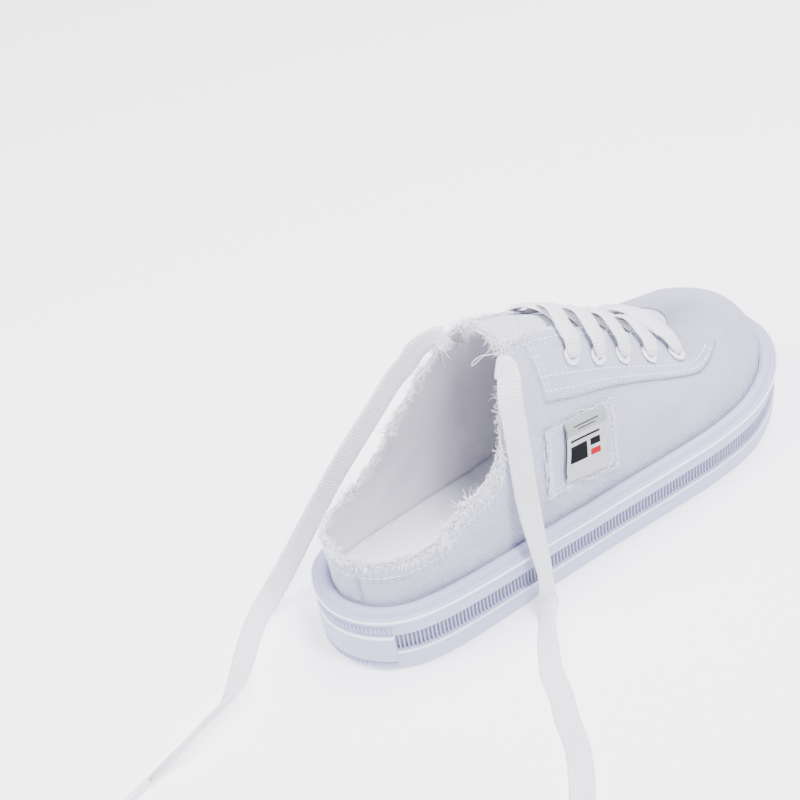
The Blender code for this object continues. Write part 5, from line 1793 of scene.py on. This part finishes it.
def make_frays():
    rng = np.random.default_rng(17)
    clumps = ((0.08, 0.03, 1.1), (0.14, 0.02, 0.6), (0.24, 0.02, 0.9), (0.33, 0.02, 0.6),
              (0.47, 0.03, 0.3), (0.60, 0.015, 0.9), (0.66, 0.012, 1.6), (0.72, 0.012, 1.5),
              (0.78, 0.012, 1.1), (0.88, 0.02, 0.5), (0.97, 0.02, 0.9))
    fray("collar_fray", rim_line(0.405), 640, 0.0044, rng, clumps, 260, "collar_fringe",
         cut=(0.00028, 0.0052, 0.62))
    top = TONGUE_GRID[0] - TONGUE_WAYS[0] * TONGUE_THICKNESS / 2
    ups = TONGUE_GRID[0] - TONGUE_GRID[2]
    ups /= np.linalg.norm(ups, axis=1)[:, None]
    loop = ((0.0124, -0.0368, 0.1082), (0.0098, -0.0399, 0.1074), (0.0074, -0.0420, 0.1070),
            (0.0051, -0.0439, 0.1064), (0.0036, -0.0458, 0.1047), (0.0036, -0.0474, 0.1034),
            (0.0050, -0.0466, 0.1043), (0.0069, -0.0437, 0.1071), (0.0081, -0.0396, 0.1098))
    clumps = ((0.3, 0.1, 0.4), (0.8, 0.08, 0.7))
    fray("tongue_fray", (top, TONGUE_WAYS[0], ups), 200, 0.0046, rng, clumps, 50, "tongue_fringe",
         tails=((loop, 0.00022),), cut=(0.00035, 0.0050, 0.5))
    for side, name in ((0, "outer"), (1, "inner")):
        edge = np.array(throat_line(side, 0.0))
        places, ways = on_skin(edge)
        toward = np.tile(np.array([-1.0 if side == 0 else 1.0, 0.0, 0.15]), (len(edge), 1))
        fray(f"{name}_throat_fray", (places, ways, toward), 90, 0.0022, rng, yarns=24)
    border, ways = border_line(PATCH_GRID, PATCH_WAYS, 0, 0)
    away = border - border.mean(axis=0)
    away /= np.linalg.norm(away, axis=1)[:, None]
    fray("patch_fray", (border - ways * 0.0004, ways, away), 190, 0.0020, rng, yarns=50)


make_frays()


# Floor and light

def make_floor():
    leave_all()
    bpy.ops.mesh.primitive_plane_add(size=6.0)
    floor = bpy.context.object
    floor.name = "floor"
    finish, tree, shader = new_finish("pale floor", 0.9)
    shader.inputs["Emission Color"].default_value = (0.98, 0.98, 1.0, 1)
    shader.inputs["Emission Strength"].default_value = 1.0
    surface_colour = marks_with_low_shade(tree, coordinates(tree, "Object"), (0.93, 0.93, 0.94), (0.92, 0.92, 0.93), 0.3)
    tree.links.new(surface_colour, shader.inputs["Base Color"])
    floor.data.materials.append(finish)


def area_light(name, place, target, size, power, colour=(1, 1, 1)):
    data = bpy.data.lights.new(name, "AREA")
    data.shape = "DISK"
    data.size = size
    data.energy = power
    data.color = colour
    lamp = bpy.data.objects.new(name, data)
    bpy.context.collection.objects.link(lamp)
    lamp.location = place
    lamp.rotation_euler = (Vector(target) - Vector(place)).to_track_quat("-Z", "Y").to_euler()


def make_light():
    world = bpy.data.worlds.new("studio")
    world.use_nodes = True
    world.node_tree.nodes["Background"].inputs["Color"].default_value = (0.74, 0.77, 1.0, 1)
    world.node_tree.nodes["Background"].inputs["Strength"].default_value = 0.85
    bpy.context.scene.world = world
    area_light("key", (0.80, 0.05, 1.60), (0, 0, 0.03), 0.6, 55, (0.97, 0.965, 1.0))
    area_light("top", (-0.10, 0.60, 1.60), (0, 0, 0.03), 0.9, 42, (0.97, 0.965, 1.0))
    area_light("opening", (-0.45, -0.95, 1.25), (-0.01, -0.03, 0.06), 0.9, 36, (0.98, 0.965, 1.0))


make_floor()
make_light()
